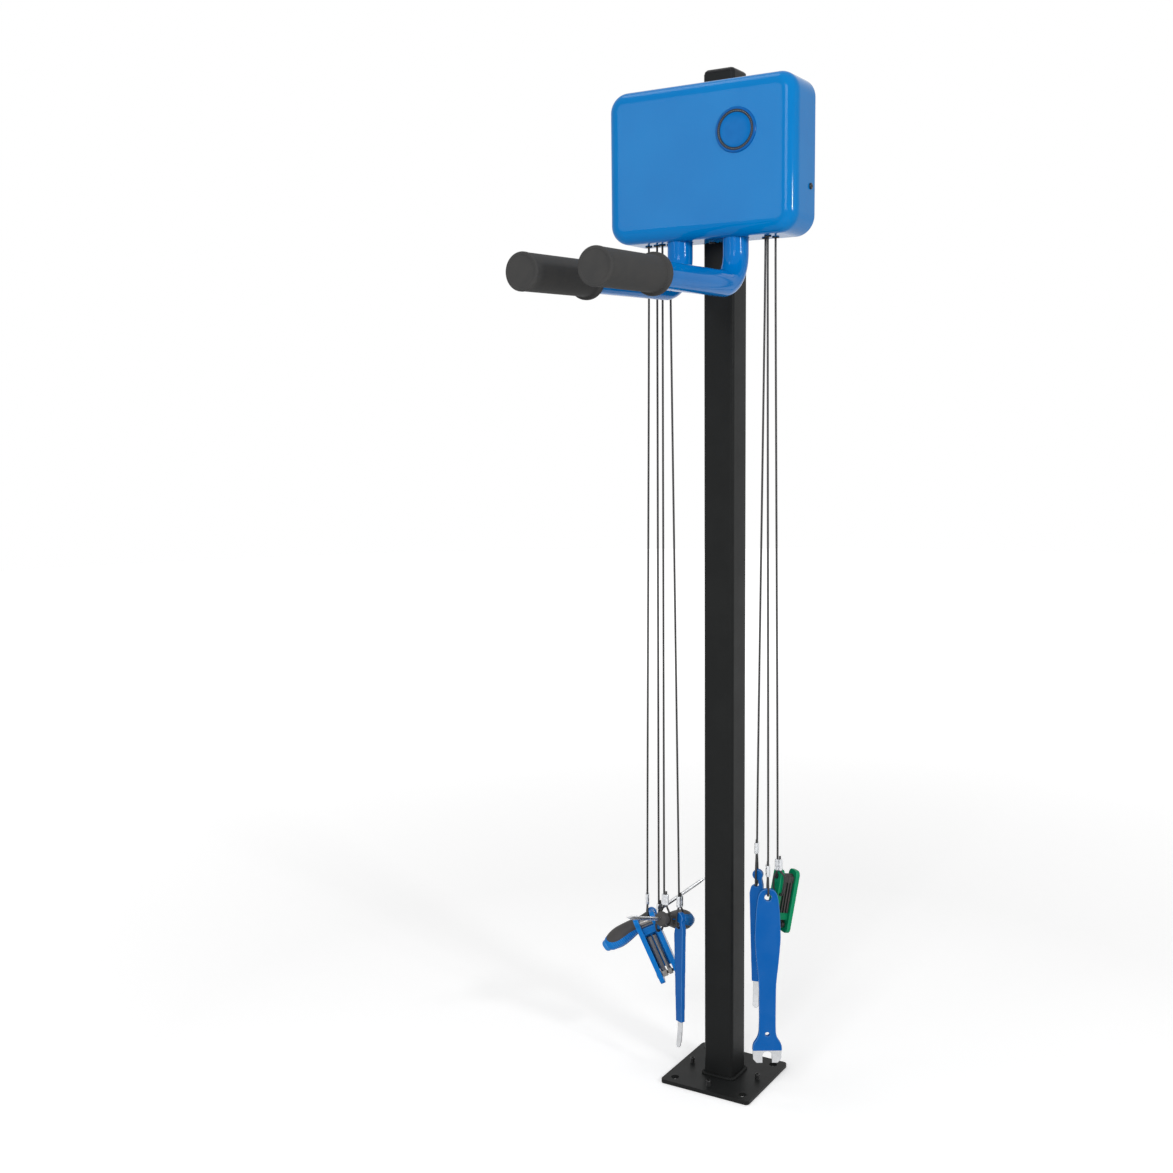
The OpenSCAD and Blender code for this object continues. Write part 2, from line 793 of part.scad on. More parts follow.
module set_pins(w, t, length) {
  pivot = length / 2 - t / 2;
  for (s = [-1, 1]) translate([0, 0, s * pivot]) rotate([0, 90, 0]) {
    cylinder(h = w, d = pin_d, center = true);
    for (e = [-1, 1]) translate([0, 0, e * (w + pin_head_t) / 2])
      cylinder(h = pin_head_t, d = pin_head_d, center = true);
  }
}

// one folding key: the eye turns on the pin at the origin, the blade stands along +Z
module key(across, length, thick, off, sides) {
  blade_r = across / 2 / cos(180 / sides);
  difference() {
    union() {
      rotate([0, 90, 0]) cylinder(h = thick, r = eye_r, center = true);
      translate([-thick / 2, min(0, off - across / 2), -neck_low])
        cube([thick, abs(off) + across / 2, neck_low + neck_up]);
    }
    rotate([0, 90, 0]) cylinder(h = thick + 2 * over, d = pin_d + 2 * seam, center = true);
  }
  translate([0, off, neck_up]) rotate([0, 0, 180 / sides])
    cylinder(h = length - neck_up, r = blade_r, $fn = sides);
}

hex_eyelet = [hex_w / 2 - eyelet_in, eyelet_in - hex_t / 2, hex_eyelet_z];
hex_pivot = hex_l / 2 - hex_t / 2;
star_eyelet = [eyelet_in - star_w / 2, eyelet_in - star_t / 2, star_eyelet_z];
star_pivot = star_l / 2 - star_t / 2;

module hex_body() {
  color(blue) set_place(hang_l2, view_yaw, hex_lean, hex_eyelet)
    set_body(hex_w, hex_t, hex_l, hex_wall, hex_eyelet, hex_lean, 1, 1);
}
module hex_pins() {
  color(dark) set_place(hang_l2, view_yaw, hex_lean, hex_eyelet) set_pins(hex_w, hex_t, hex_l);
}
module hex_front(x, across) {
  color(steel) set_place(hang_l2, view_yaw, hex_lean, hex_eyelet)
    translate([x, 0, -hex_pivot]) key(across, hex_key_front_l, across, -key_off, 6);
}
module hex_rear(place, across) {
  color(steel) set_place(hang_l2, view_yaw, hex_lean, hex_eyelet)
    translate([place * hex_pitch, 0, hex_pivot]) rotate([180, 0, 0])
      key(across, hex_key_back_l, eye_t, -key_off, 6);
}
module hex_key_8() { hex_front(hex_front_x[0], hex_sizes[0]); }
module hex_key_6() { hex_front(hex_front_x[1], hex_sizes[1]); }
module hex_key_5() { hex_rear(-1.5, hex_sizes[2]); }
module hex_key_4() { hex_rear(-0.5, hex_sizes[3]); }
module hex_key_3() { hex_rear(0.5, hex_sizes[4]); }
module hex_key_2() { hex_rear(1.5, hex_sizes[5]); }

module star_body() {
  color(green) set_place(hang_r3, star_yaw, star_lean, star_eyelet)
    set_body(star_w, star_t, star_l, star_wall, star_eyelet, star_lean, -1, -1);
}
module star_pins() {
  color(dark) set_place(hang_r3, star_yaw, star_lean, star_eyelet)
    set_pins(star_w, star_t, star_l);
}
module star_front(place, across) {
  color(dark) set_place(hang_r3, star_yaw, star_lean, star_eyelet)
    translate([place * star_front_pitch, 0, star_pivot]) rotate([180, 0, 0]) mirror([0, 1, 0])
      key(across, star_key_front_l, star_eye_t, -key_off, 12);
}
module star_rear(place, across) {
  color(dark) set_place(hang_r3, star_yaw, star_lean, star_eyelet)
    translate([place * star_rear_pitch, 0, -star_pivot]) mirror([0, 1, 0])
      key(across, star_key_back_l, eye_t, -key_off, 12);
}
module star_key_1() { star_front(-1.5, star_front_sizes[0]); }
module star_key_2() { star_front(-0.5, star_front_sizes[1]); }
module star_key_3() { star_front(0.5, star_front_sizes[2]); }
module star_key_4() { star_front(1.5, star_front_sizes[3]); }
module star_key_5() { star_rear(-1, star_rear_sizes[0]); }
module star_key_6() { star_rear(0, star_rear_sizes[1]); }
module star_key_7() { star_rear(1, star_rear_sizes[2]); }

// tyre levers: local origin at the hook, X wide, Y back

module lever_place(hang, yaw) {
  translate(hang) rotate([0, 0, yaw]) children();
}

module lever_sleeve() {
  difference() {
    union() {
      upright(-lever_t / 2, lever_t) polygon(concat(
        [for (p = lever_hook_shares) p * lever_w / 2],
        [[lever_end_w / 2, lever_low], [-lever_end_w / 2, lever_low]]
      ));
      rod_y(lever_head_x, -lever_t / 2, lever_t / 2, lever_head_z, 2 * lever_head_r);
    }
    rod_y(0, -lever_t, lever_t, 0, lever_hole_d);
    rotate([0, lever_mouth_turn, 0]) translate([0, -lever_t, -lever_mouth / 2])
      cube([lever_w, 2 * lever_t, lever_mouth]);
    upright(-lever_core_t / 2, lever_core_t)
      translate([-lever_tip_w / 2, lever_low - over])
        square([lever_tip_w, lever_core_low - lever_low + over]);
  }
}

// flat bar with a dished tip, drawn in side view and cut to its rounded outline
module lever_steel() {
  intersection() {
    rotate([90, 0, 90]) linear_extrude(lever_tip_w, center = true) polygon([
      [-lever_core_t / 2, lever_core_low], [lever_core_t / 2, lever_core_low],
      [lever_core_t / 2, lever_low - lever_bend_low],
      [lever_core_t / 2 - lever_tip_off / 2, lever_tip_low + lever_bend_front],
      [-lever_tip_off, lever_tip_end], [-lever_tip_off - lever_core_t / 2, lever_tip_end],
      [-lever_core_t / 2 - lever_tip_off / 2, lever_tip_low + lever_bend_back],
      [-lever_core_t / 2, lever_low - lever_bend_low]
    ]);
    upright(-2 * lever_t, 4 * lever_t) {
      translate([-lever_tip_w / 2, lever_tip_end + lever_tip_w / 2])
        square([lever_tip_w, lever_core_low - lever_tip_end]);
      translate([0, lever_tip_end + lever_tip_w / 2]) circle(d = lever_tip_w);
    }
  }
}

module lever_left_sleeve() { color(blue) lever_place(hang_l4, lever_left_yaw) lever_sleeve(); }
module lever_left_steel() { color(steel) lever_place(hang_l4, lever_left_yaw) lever_steel(); }
module lever_right_sleeve() { color(blue) lever_place(hang_r1, lever_right_yaw) lever_sleeve(); }
module lever_right_steel() { color(steel) lever_place(hang_r1, lever_right_yaw) lever_steel(); }

// pedal wrench: local origin at the hang hole, X wide, Y back

module wrench_place() {
  translate(hang_r2 - [0, 0, wrench_hang]) rotate([0, 0, view_yaw]) children();
}

function sized(shares, w, h) = [for (p = shares) [p[0] * w, p[1] * h]];
function mirrored(p) = concat(p, [for (i = [len(p) - 1:-1:0]) [-p[i][0], p[i][1]]]);

module wrench_outline() {
  polygon(mirrored(sized(wrench_shares, wrench_half_w, wrench_sleeve_l)));
}

module wrench_core_outline() {
  polygon(mirrored(sized(wrench_core_shares, wrench_half_w, wrench_core_l)));
}

module wrench_sleeve() {
  color(blue) wrench_place() difference() {
    upright(-wrench_t / 2, wrench_t) wrench_outline();
    rod_y(0, -wrench_t, wrench_t, 0, wrench_hole_d);
    rod_y(0, -wrench_t, wrench_t, wrench_small_z, wrench_small_d);
    upright(-wrench_core_t / 2, wrench_core_t) difference() {
      wrench_core_outline();
      translate([0, wrench_small_z]) circle(d = wrench_small_d);
    }
  }
}

module wrench_steel() {
  color(steel) wrench_place() difference() {
    upright(-wrench_core_t / 2, wrench_core_t) wrench_core_outline();
    rod_y(0, -wrench_t, wrench_t, wrench_small_z, wrench_small_d);
    upright(-wrench_t, 2 * wrench_t) {
      translate([0, wrench_notch_top]) circle(d = wrench_notch);
      translate([-wrench_notch / 2, wrench_notch_top - wrench_notch]) square(wrench_notch);
    }
  }
}

base_plate();
levelling_screws();
post();
foot_weld();
post_cap();
back_plate();
head_bolts();
frame_nuts();
head_cover();
cover_screws();
arm(-1);  // arm_left
arm(1);  // arm_right
grip(-1);  // grip_left
grip(1);  // grip_right
clamp_rear();
clamp_front();
clamp_bolts();
badge_plate();
cable_bar();
cable_stops();
cable_grommets();
cable(exit_l1, hang_l1, turn_l1, rise_l1, lean_loop);  // cable_left_1
cable(exit_l2, hang_l2, turn_l2, rise_l2, wall_loop);  // cable_left_2
cable(exit_l3, hang_l3, turn_l3, rise_l3, neck_loop);  // cable_left_3
cable(exit_l4, hang_l4, turn_l4, rise_l4, hook_loop);  // cable_left_4
cable(exit_r1, hang_r1, turn_r1, rise_r1, hook_loop);  // cable_right_1
cable(exit_r2, hang_r2, turn_r2, rise_r2, hole_loop);  // cable_right_2
cable(exit_r3, hang_r3, turn_r3, rise_r3, star_loop);  // cable_right_3
cable_ferrules();
driver_a_handle();
driver_a_cap();
driver_a_blade();
driver_b_handle();
driver_b_cap();
driver_b_blade();
hex_body();
hex_pins();
hex_key_8();
hex_key_6();
hex_key_5();
hex_key_4();
hex_key_3();
hex_key_2();
star_body();
star_pins();
star_key_1();
star_key_2();
star_key_3();
star_key_4();
star_key_5();
star_key_6();
star_key_7();
lever_left_steel();
lever_left_sleeve();
lever_right_steel();
lever_right_sleeve();
wrench_steel();
wrench_sleeve();
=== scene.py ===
"""Looks of a bicycle repair station: a post with a moulded head, two padded arms and seven tethered tools.

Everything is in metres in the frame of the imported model: X right, Y away, Z up, origin under the floor plate.
"""
import json
import logging
import math
from dataclasses import dataclass
from enum import Enum
from typing import Callable, Sequence

import bmesh
import bpy
from bpy.types import Material, Mesh, Node, NodeOutputs, NodeSocket, NodeTree, Object
from mathutils import Matrix, Vector

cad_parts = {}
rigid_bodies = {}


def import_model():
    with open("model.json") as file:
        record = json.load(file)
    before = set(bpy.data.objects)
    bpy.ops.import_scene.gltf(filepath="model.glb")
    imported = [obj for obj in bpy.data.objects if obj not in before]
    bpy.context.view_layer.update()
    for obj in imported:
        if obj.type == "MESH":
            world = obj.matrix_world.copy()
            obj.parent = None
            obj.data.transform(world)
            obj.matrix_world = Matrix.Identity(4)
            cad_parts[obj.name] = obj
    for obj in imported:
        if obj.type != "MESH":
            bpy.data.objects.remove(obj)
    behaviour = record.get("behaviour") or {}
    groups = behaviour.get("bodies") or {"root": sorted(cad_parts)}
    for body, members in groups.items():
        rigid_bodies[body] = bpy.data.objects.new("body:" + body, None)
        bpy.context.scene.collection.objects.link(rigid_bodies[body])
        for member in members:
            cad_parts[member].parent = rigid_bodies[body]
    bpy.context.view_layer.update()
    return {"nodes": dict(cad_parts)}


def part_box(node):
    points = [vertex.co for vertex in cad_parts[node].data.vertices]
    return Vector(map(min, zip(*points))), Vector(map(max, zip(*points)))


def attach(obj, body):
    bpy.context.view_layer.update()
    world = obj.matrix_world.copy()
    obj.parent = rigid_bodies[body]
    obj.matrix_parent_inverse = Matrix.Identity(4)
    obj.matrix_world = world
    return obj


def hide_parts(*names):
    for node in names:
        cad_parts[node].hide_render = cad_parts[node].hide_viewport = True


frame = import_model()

MM = 0.001
VIEW_YAW = 31.4
CREASE = 35.0
SCREW_SIDES = 36
DRILL_SIDES = 40
WHITE = (1.0, 1.0, 1.0, 1.0)

# Sockets that only their number tells apart: the colours of a mix node and the numbers of a random value.
MIX_FIRST, MIX_SECOND, MIX_RESULT = 6, 7, 2
RANDOM_LOW, RANDOM_HIGH, RANDOM_RESULT = 2, 3, 1

# Parts of the noise and of the edge pointiness over which the second colour, the gloss and the edge colour come
# in; the edge colour is wear on some finishes and a painted highlight on others.
COLOUR_SPAN = (0.35, 0.65)
GLOSS_SPAN = (0.3, 0.7)
EDGE_WEAR_AND_HIGHLIGHT_SPAN = (0.51, 0.58)
PATCH_DETAIL = 3.0

log = logging.getLogger("repair_station")

Point = tuple[float, float, float]
Pair = tuple[float, float]


class Grain(Enum):
    """Surface pattern of a finish."""

    SMOOTH = "smooth"
    PEEL = "orange peel"
    STIPPLE = "moulded stipple"
    BRUSHED = "brushed along one axis"
    LAY = "slanting lay of a jacketed rope"


# Octaves of each grain's noise, stretch of the brushed one, and bands of the lay over one grain.
GRAIN_DETAIL = {Grain.PEEL: 1.0, Grain.STIPPLE: 4.0, Grain.BRUSHED: 3.0}
BRUSH_STRETCH = (1.0, 1.0, 0.06)
LAY_BANDS = 0.3


def linear(red: int, green: int, blue: int) -> tuple[float, float, float, float]:
    """Turn an 8-bit display colour into the linear colour that a shader takes.

    Args:
        red: Red from 0 to 255.
        green: Green from 0 to 255.
        blue: Blue from 0 to 255.

    Returns:
        The linear colour with an alpha of 1.
    """
    shares = [c / 255 for c in (red, green, blue)]
    low = [c / 12.92 if c <= 0.04045 else ((c + 0.055) / 1.055) ** 2.4 for c in shares]
    return (low[0], low[1], low[2], 1.0)


def feed(tree: NodeTree, node: Node, sockets: dict[str | int, object]) -> None:
    """Fill inputs of a node.

    Args:
        tree: Node tree that holds it.
        node: The node.
        sockets: What each input gets, by name or number: a value, or the output of another node.
    """
    for key, given in sockets.items():
        if isinstance(given, NodeSocket):
            tree.links.new(given, node.inputs[key])
        else:
            node.inputs[key].default_value = given


def add_node(tree: NodeTree, kind: str, sockets: dict[str | int, object] | None = None,
             **settings: str) -> Node:
    """Add a node to a tree.

    Args:
        tree: The node tree.
        kind: Type of the node.
        sockets: What each input gets, by name or number.
        settings: Its other settings.

    Returns:
        The node.
    """
    node = tree.nodes.new(kind)
    for name, choice in settings.items():
        setattr(node, name, choice)
    feed(tree, node, sockets or {})
    return node


def stretch(tree: NodeTree, value: NodeSocket, given: Pair, wanted: Pair) -> NodeSocket:
    """Map a value from its given range to the wanted one."""
    return add_node(tree, "ShaderNodeMapRange", {
        "Value": value, "From Min": given[0], "From Max": given[1], "To Min": wanted[0],
        "To Max": wanted[1]}).outputs["Result"]


def combine(tree: NodeTree, operation: str, first: object, second: object) -> NodeSocket:
    """Combine two numbers or their sockets by a named operation."""
    return add_node(tree, "ShaderNodeMath", {0: first, 1: second}, operation=operation).outputs["Value"]


@dataclass(frozen=True)
class Finish:
    """One finish: its colour, gloss and small surface pattern.

    Attributes:
        name: Name of the material.
        slot: Material slot of the record that it stands for; not used.
        colour: Main colour as three 8-bit numbers.
        other: Second colour of the mottling and of the sharp edges, as three 8-bit numbers.
        mottle: Share of the second colour where the mottling is strongest.
        patch: Size of a patch of the mottling in millimetres.
        rough: Lowest and highest roughness.
        grain: Kind of small surface pattern.
        relief: Size and height of one grain in millimetres.
        metal: Share of metal in the shader.
        specular: Strength of the dielectric reflection.
        edge_wear_and_highlight: Share of the second colour on sharp edges: wear on the black oxide screws and
            dark keys, a painted highlight on the dipped vinyl and the blue and green tool plastics, and a
            lighter edge on the post.
    """

    name: str
    slot: str
    colour: tuple[int, int, int]
    other: tuple[int, int, int]
    mottle: float
    patch: float
    rough: Pair
    grain: Grain = Grain.SMOOTH
    relief: Pair = (1.0, 0.0)
    metal: float = 0.0
    specular: float = 0.5
    edge_wear_and_highlight: float = 0.0

    def material(self) -> Material:
        """Return the material of this finish, built on first use."""
        found = bpy.data.materials.get(self.name)
        if found:
            return found
        made = bpy.data.materials.new(self.name)
        made.use_nodes = True
        tree = made.node_tree
        shader = tree.nodes["Principled BSDF"]
        place = add_node(tree, "ShaderNodeTexCoord").outputs["Object"]
        patches = self._noise(tree, place, self.patch, PATCH_DETAIL)
        feed(tree, shader, {
            "Metallic": self.metal, "Specular IOR Level": self.specular,
            "Base Color": self._colour(tree, patches),
            "Roughness": stretch(tree, patches, GLOSS_SPAN, self.rough)})
        if self.grain is not Grain.SMOOTH:
            bump = add_node(tree, "ShaderNodeBump", {
                "Distance": self.relief[1] * MM, "Height": self._height(tree, place)})
            feed(tree, shader, {"Normal": bump.outputs["Normal"]})
        return made

    @staticmethod
    def _noise(tree: NodeTree, place: NodeSocket, size: float, detail: float) -> NodeSocket:
        """Add a noise whose patches have a size in millimetres, and return its strength."""
        return add_node(tree, "ShaderNodeTexNoise", {
            "Scale": 1 / (size * MM), "Detail": detail, "Vector": place}).outputs["Fac"]

    def _colour(self, tree: NodeTree, patches: NodeSocket) -> NodeSocket:
        """Mix the two colours by the patches, and on sharp edges where the finish has an edge colour: wear on
        some finishes, a painted highlight on others.
        """
        share = stretch(tree, patches, COLOUR_SPAN, (0.0, self.mottle))
        # Sharp edges take the second colour: a painted highlight on the vinyl and tool plastics, wear on the
        # screws and dark keys.
        if self.edge_wear_and_highlight:
            edges = add_node(tree, "ShaderNodeNewGeometry").outputs["Pointiness"]
            share = combine(tree, "MAXIMUM", share, stretch(tree, edges, EDGE_WEAR_AND_HIGHLIGHT_SPAN, (0.0, self.edge_wear_and_highlight)))
        return add_node(tree, "ShaderNodeMix", {
            "Factor": share, MIX_FIRST: linear(*self.colour), MIX_SECOND: linear(*self.other)},
            data_type="RGBA").outputs[MIX_RESULT]

    def _height(self, tree: NodeTree, place: NodeSocket) -> NodeSocket:
        """Return the height of the grain at each place."""
        size = self.relief[0]
        if self.grain is Grain.LAY:
            return add_node(tree, "ShaderNodeTexWave", {"Scale": LAY_BANDS / (size * MM), "Vector": place},
                            bands_direction="DIAGONAL").outputs["Fac"]
        if self.grain is Grain.BRUSHED:
            place = add_node(tree, "ShaderNodeMapping", {
                "Scale": BRUSH_STRETCH, "Vector": place}).outputs["Vector"]
        return self._noise(tree, place, size, GRAIN_DETAIL[self.grain])


class Finishes:
    """The finishes of the station."""

    COVER = Finish("cover_blue_plastic", "blue_cover_plastic", (0, 118, 187), (0, 111, 181), 0.5, 80,
                   (0.06, 0.1), Grain.PEEL, (2.2, 0.006), specular=0.09)
    ARM = Finish("arm_blue_coat", "arm_powder_coat", (0, 112, 186), (0, 104, 178), 0.5, 50,
                 (0.07, 0.12), Grain.PEEL, (1.8, 0.008), specular=0.1)
    POST = Finish("post_black_coat", "black_powder_coat", (29, 30, 30), (38, 39, 39), 0.4, 50,
                  (0.36, 0.46), Grain.STIPPLE, (0.9, 0.04), specular=0.08, edge_wear_and_highlight=0.3)
    CAP = Finish("cap_black_plastic", "black_powder_coat", (24, 24, 27), (31, 31, 33), 0.4, 20,
                 (0.3, 0.38), Grain.STIPPLE, (0.6, 0.02), specular=0.12)
    SCREW = Finish("black_oxide", "black_oxide_screws", (30, 30, 31), (62, 62, 62), 0.3, 4,
                   (0.3, 0.45), Grain.STIPPLE, (0.5, 0.01), metal=0.6, edge_wear_and_highlight=0.5)
    ZINC = Finish("zinc_plate", "zinc_fasteners", (178, 180, 184), (150, 150, 146), 0.6, 6,
                  (0.25, 0.4), Grain.STIPPLE, (0.4, 0.01), metal=1.0)
    ALUMINIUM = Finish("milled_aluminium", "clamp_aluminium", (196, 198, 200), (170, 172, 174), 0.5, 20,
                       (0.3, 0.42), Grain.BRUSHED, (0.6, 0.02), metal=1.0)
    GRIP = Finish("grip_grey_rubber", "grip_rubber", (60, 60, 60), (68, 67, 66), 0.6, 20,
                  (0.62, 0.75), Grain.STIPPLE, (0.8, 0.06), specular=0.1)
    BADGE_RIM = Finish("badge_blue_rim", "badge_enamel", (0, 88, 160), (0, 82, 152), 0.3, 10,
                       (0.2, 0.3), specular=0.1)
    BADGE_RING = Finish("badge_dark_ring", "badge_enamel", (34, 40, 48), (48, 54, 62), 0.3, 10,
                        (0.25, 0.35), specular=0.12)
    BADGE_BEAD = Finish("badge_bead_metal", "badge_enamel", (120, 128, 136), (96, 104, 112), 0.3, 4,
                        (0.25, 0.35), metal=0.8)
    BADGE_DOME = Finish("badge_blue_enamel", "badge_enamel", (4, 106, 178), (0, 98, 168), 0.6, 12,
                        (0.1, 0.16), specular=0.05)
    JACKET = Finish("cable_black_jacket", "cable_jacket", (30, 29, 30), (44, 42, 42), 0.5, 10,
                    (0.34, 0.46), Grain.LAY, (1.6, 0.12))
    GROMMET = Finish("grommet_black_rubber", "grommet_rubber", (26, 26, 26), (36, 36, 36), 0.4, 4,
                     (0.6, 0.7), Grain.STIPPLE, (0.5, 0.02))
    CRIMP = Finish("crimped_aluminium", "crimp_metal", (216, 218, 221), (176, 178, 182), 0.5, 3,
                   (0.16, 0.3), Grain.STIPPLE, (0.7, 0.04), metal=1.0)
    SOFT_GREY = Finish("handle_soft_grey", "handle_rubber", (66, 65, 66), (76, 73, 71), 0.5, 10,
                       (0.5, 0.62), Grain.STIPPLE, (0.6, 0.03), specular=0.2)
    # Its pale second colour on sharp edges is a painted highlight; it also mottles the face slightly.
    TOOL_BLUE = Finish("tool_blue_plastic", "blue_plastic", (0, 112, 192), (110, 176, 226), 0.03, 20,
                       (0.14, 0.24), Grain.PEEL, (1.2, 0.02), specular=0.1, edge_wear_and_highlight=0.45)
    # Its pale second colour on sharp edges is a painted highlight; it also mottles the face slightly.
    TOOL_GREEN = Finish("tool_green_plastic", "green_plastic", (0, 134, 90), (110, 206, 160), 0.03, 20,
                        (0.14, 0.24), Grain.PEEL, (1.2, 0.02), specular=0.1, edge_wear_and_highlight=0.45)
    CHROME = Finish("satin_chrome", "chromed_steel", (205, 206, 208), (180, 182, 184), 0.4, 10,
                    (0.2, 0.32), Grain.BRUSHED, (0.5, 0.01), metal=1.0)
    KEY = Finish("key_grey_steel", "key_steel", (140, 138, 136), (112, 108, 104), 0.6, 6,
                 (0.3, 0.45), Grain.BRUSHED, (0.4, 0.01), metal=1.0)
    DARK_KEY = Finish("key_dark_steel", "dark_key_steel", (58, 56, 56), (88, 84, 82), 0.4, 5,
                      (0.34, 0.5), Grain.STIPPLE, (0.4, 0.01), metal=0.8, edge_wear_and_highlight=0.4)
    # Its pale second colour on sharp edges is a painted highlight; it also mottles the face slightly.
    VINYL = Finish("dipped_blue_vinyl", "blue_vinyl", (0, 90, 168), (150, 200, 236), 0.02, 30,
                   (0.1, 0.18), Grain.PEEL, (4.0, 0.06), specular=0.09, edge_wear_and_highlight=0.6)


def turned(rx: float = 0.0, ry: float = 0.0, rz: float = 0.0) -> Matrix:
    """Turn about X, then Y, then Z, in degrees."""
    spin = Matrix.Rotation(math.radians(rz), 4, "Z") @ Matrix.Rotation(math.radians(ry), 4, "Y")
    return spin @ Matrix.Rotation(math.radians(rx), 4, "X")


def moved(place: Sequence[float]) -> Matrix:
    """Shift by a vector in metres."""
    return Matrix.Translation(Vector(place))


def polar(radius: float, angle: float, height: float) -> Vector:
    """Return the point at a radius, at an angle in radians and at a height."""
    return Vector((radius * math.cos(angle), radius * math.sin(angle), height))


def circle(sides: int) -> list[float]:
    """List the angles of even steps round a full turn, in radians."""
    return [2 * math.pi * k / sides for k in range(sides)]


def arc(centre: Pair, radius: float, start: float, end: float, steps: int) -> list[Pair]:
    """List points on an arc, both ends included, with angles in degrees."""
    turn = [math.radians(start + (end - start) * i / steps) for i in range(steps + 1)]
    return [(centre[0] + radius * math.cos(a), centre[1] + radius * math.sin(a)) for a in turn]


def in_metres(points: Sequence[Pair]) -> list[Pair]:
    """Turn pairs from millimetres into metres."""
    return [(a * MM, b * MM) for a, b in points]


def rounded_outline(width: float, height: float, radius: float, steps: int, guard: float) -> list[Pair]:
    """List the corners of a rounded rectangle about the origin.

    Args:
        width: Full width.
        height: Full height.
        radius: Corner radius.
        steps: Faces round one corner.
        guard: Distance from each arc at which the straight side gets one more point.

    Returns:
        The points, anticlockwise.
    """
    outline: list[Pair] = []
    for turn, (sx, sy) in zip((0, 90, 180, 270), ((1, 1), (-1, 1), (-1, -1), (1, -1))):
        centre = (sx * (width / 2 - radius), sy * (height / 2 - radius))
        points = arc(centre, radius, turn, turn + 90, steps)
        first, last = math.radians(turn), math.radians(turn + 90)
        outline.append((points[0][0] + guard * math.sin(first), points[0][1] - guard * math.cos(first)))
        outline += points
        outline.append((points[-1][0] - guard * math.sin(last), points[-1][1] + guard * math.cos(last)))
    return outline


def smooth_path(points: Sequence[Sequence[float]], per_span: int) -> list[Vector]:
    """Run a smooth open curve through given points.

    Args:
        points: The points that the curve passes.
        per_span: Steps between two points.

    Returns:
        Points along the curve.
    """
    given = [Vector(p) for p in points]
    least = 1e-9
    path: list[Vector] = []
    for i, (here, there) in enumerate(zip(given, given[1:])):
        before = given[i - 1] if i else here * 2 - there
        after = given[i + 2] if i + 2 < len(given) else there * 2 - here
        reach = (there - here).length
        lead = (there - before) / max((here - before).length + reach, least) * reach
        tail = (after - here) / max((after - there).length + reach, least) * reach
        for t in (k / per_span for k in range(per_span)):
            path.append(here * (2 * t**3 - 3 * t**2 + 1) + lead * (t**3 - 2 * t**2 + t)
                        + there * (3 * t**2 - 2 * t**3) + tail * (t**3 - t**2))
    return path + [given[-1]]


def make_object(name: str, mesh: Mesh) -> Object:
    """Put a mesh in the scene under a name."""
    mesh.name = name
    made = bpy.data.objects.new(name, mesh)
    bpy.context.scene.collection.objects.link(made)
    return made


def face_out(mesh: Mesh) -> None:
    """Merge a closed mesh's doubled corners and turn its faces outwards."""
    work = bmesh.new()
    work.from_mesh(mesh)
    bmesh.ops.remove_doubles(work, verts=work.verts, dist=1e-7)
    bmesh.ops.recalc_face_normals(work, faces=work.faces)
    work.to_mesh(mesh)
    work.free()


def shade(mesh: Mesh, crease: float) -> None:
    """Shade a mesh smooth up to a crease angle in degrees."""
    mesh.polygons.foreach_set("use_smooth", [True] * len(mesh.polygons))
    mesh.set_sharp_from_angle(angle=math.radians(crease))
    mesh.update()


def mesh_from(name: str, corners: Sequence[Vector], faces: Sequence[Sequence[int]],
              place: Matrix | None, crease: float) -> Object:
    """Make an object with outward faces and smooth shading up to a crease angle.

    Args:
        name: Name of the object.
        corners: Its vertices, in its own frame.
        faces: Its faces as lists of vertex numbers.
        place: Where its own frame stands in the row frame.
        crease: Angle in degrees past which an edge is sharp.

    Returns:
        The new object, at the origin.
    """
    mesh = bpy.data.meshes.new(name)
    mesh.from_pydata([tuple(c) for c in corners], [], [list(f) for f in faces])
    face_out(mesh)
    if place is not None:
        mesh.transform(place)
    shade(mesh, crease)
    return make_object(name, mesh)


def settle(piece: Object) -> Object:
    """Turn a piece with modifiers into a plain mesh without them."""
    view = bpy.context.evaluated_depsgraph_get()
    view.update()
    plain = bpy.data.meshes.new_from_object(piece.evaluated_get(view), depsgraph=view)
    piece.modifiers.clear()
    old = piece.data
    piece.data = plain
    bpy.data.meshes.remove(old)
    plain.name = piece.name
    return piece


def bevelled(piece: Object, width: float, steps: int) -> Object:
    """Round a piece's edges.

    Args:
        piece: Object with a clean mesh.
        width: Width of the rounding in metres.
        steps: Faces across the rounding.

    Returns:
        The same object, with a plain mesh.
    """
    bevel = piece.modifiers.new("rounding", "BEVEL")
    bevel.width = width
    bevel.segments = steps
    bevel.limit_method = "ANGLE"
    bevel.angle_limit = math.radians(CREASE)
    bevel.use_clamp_overlap = True
    bevel.miter_outer = "MITER_ARC"
    weighted = piece.modifiers.new("normals", "WEIGHTED_NORMAL")
    weighted.keep_sharp = True
    return settle(piece)


def cut(piece: Object, cutters: Sequence[Object]) -> Object:
    """Cut solids out of a piece and remove them.

    Args:
        piece: Closed object that is cut.
        cutters: Closed objects to take away from it.

    Returns:
        The piece, with a plain mesh.
    """
    for cutter in cutters:
        boolean = piece.modifiers.new("cut", "BOOLEAN")
        boolean.operation = "DIFFERENCE"
        boolean.solver = "EXACT"
        boolean.object = cutter
    settle(piece)
    for cutter in cutters:
        bpy.data.objects.remove(cutter)
    shade(piece.data, CREASE)
    return piece


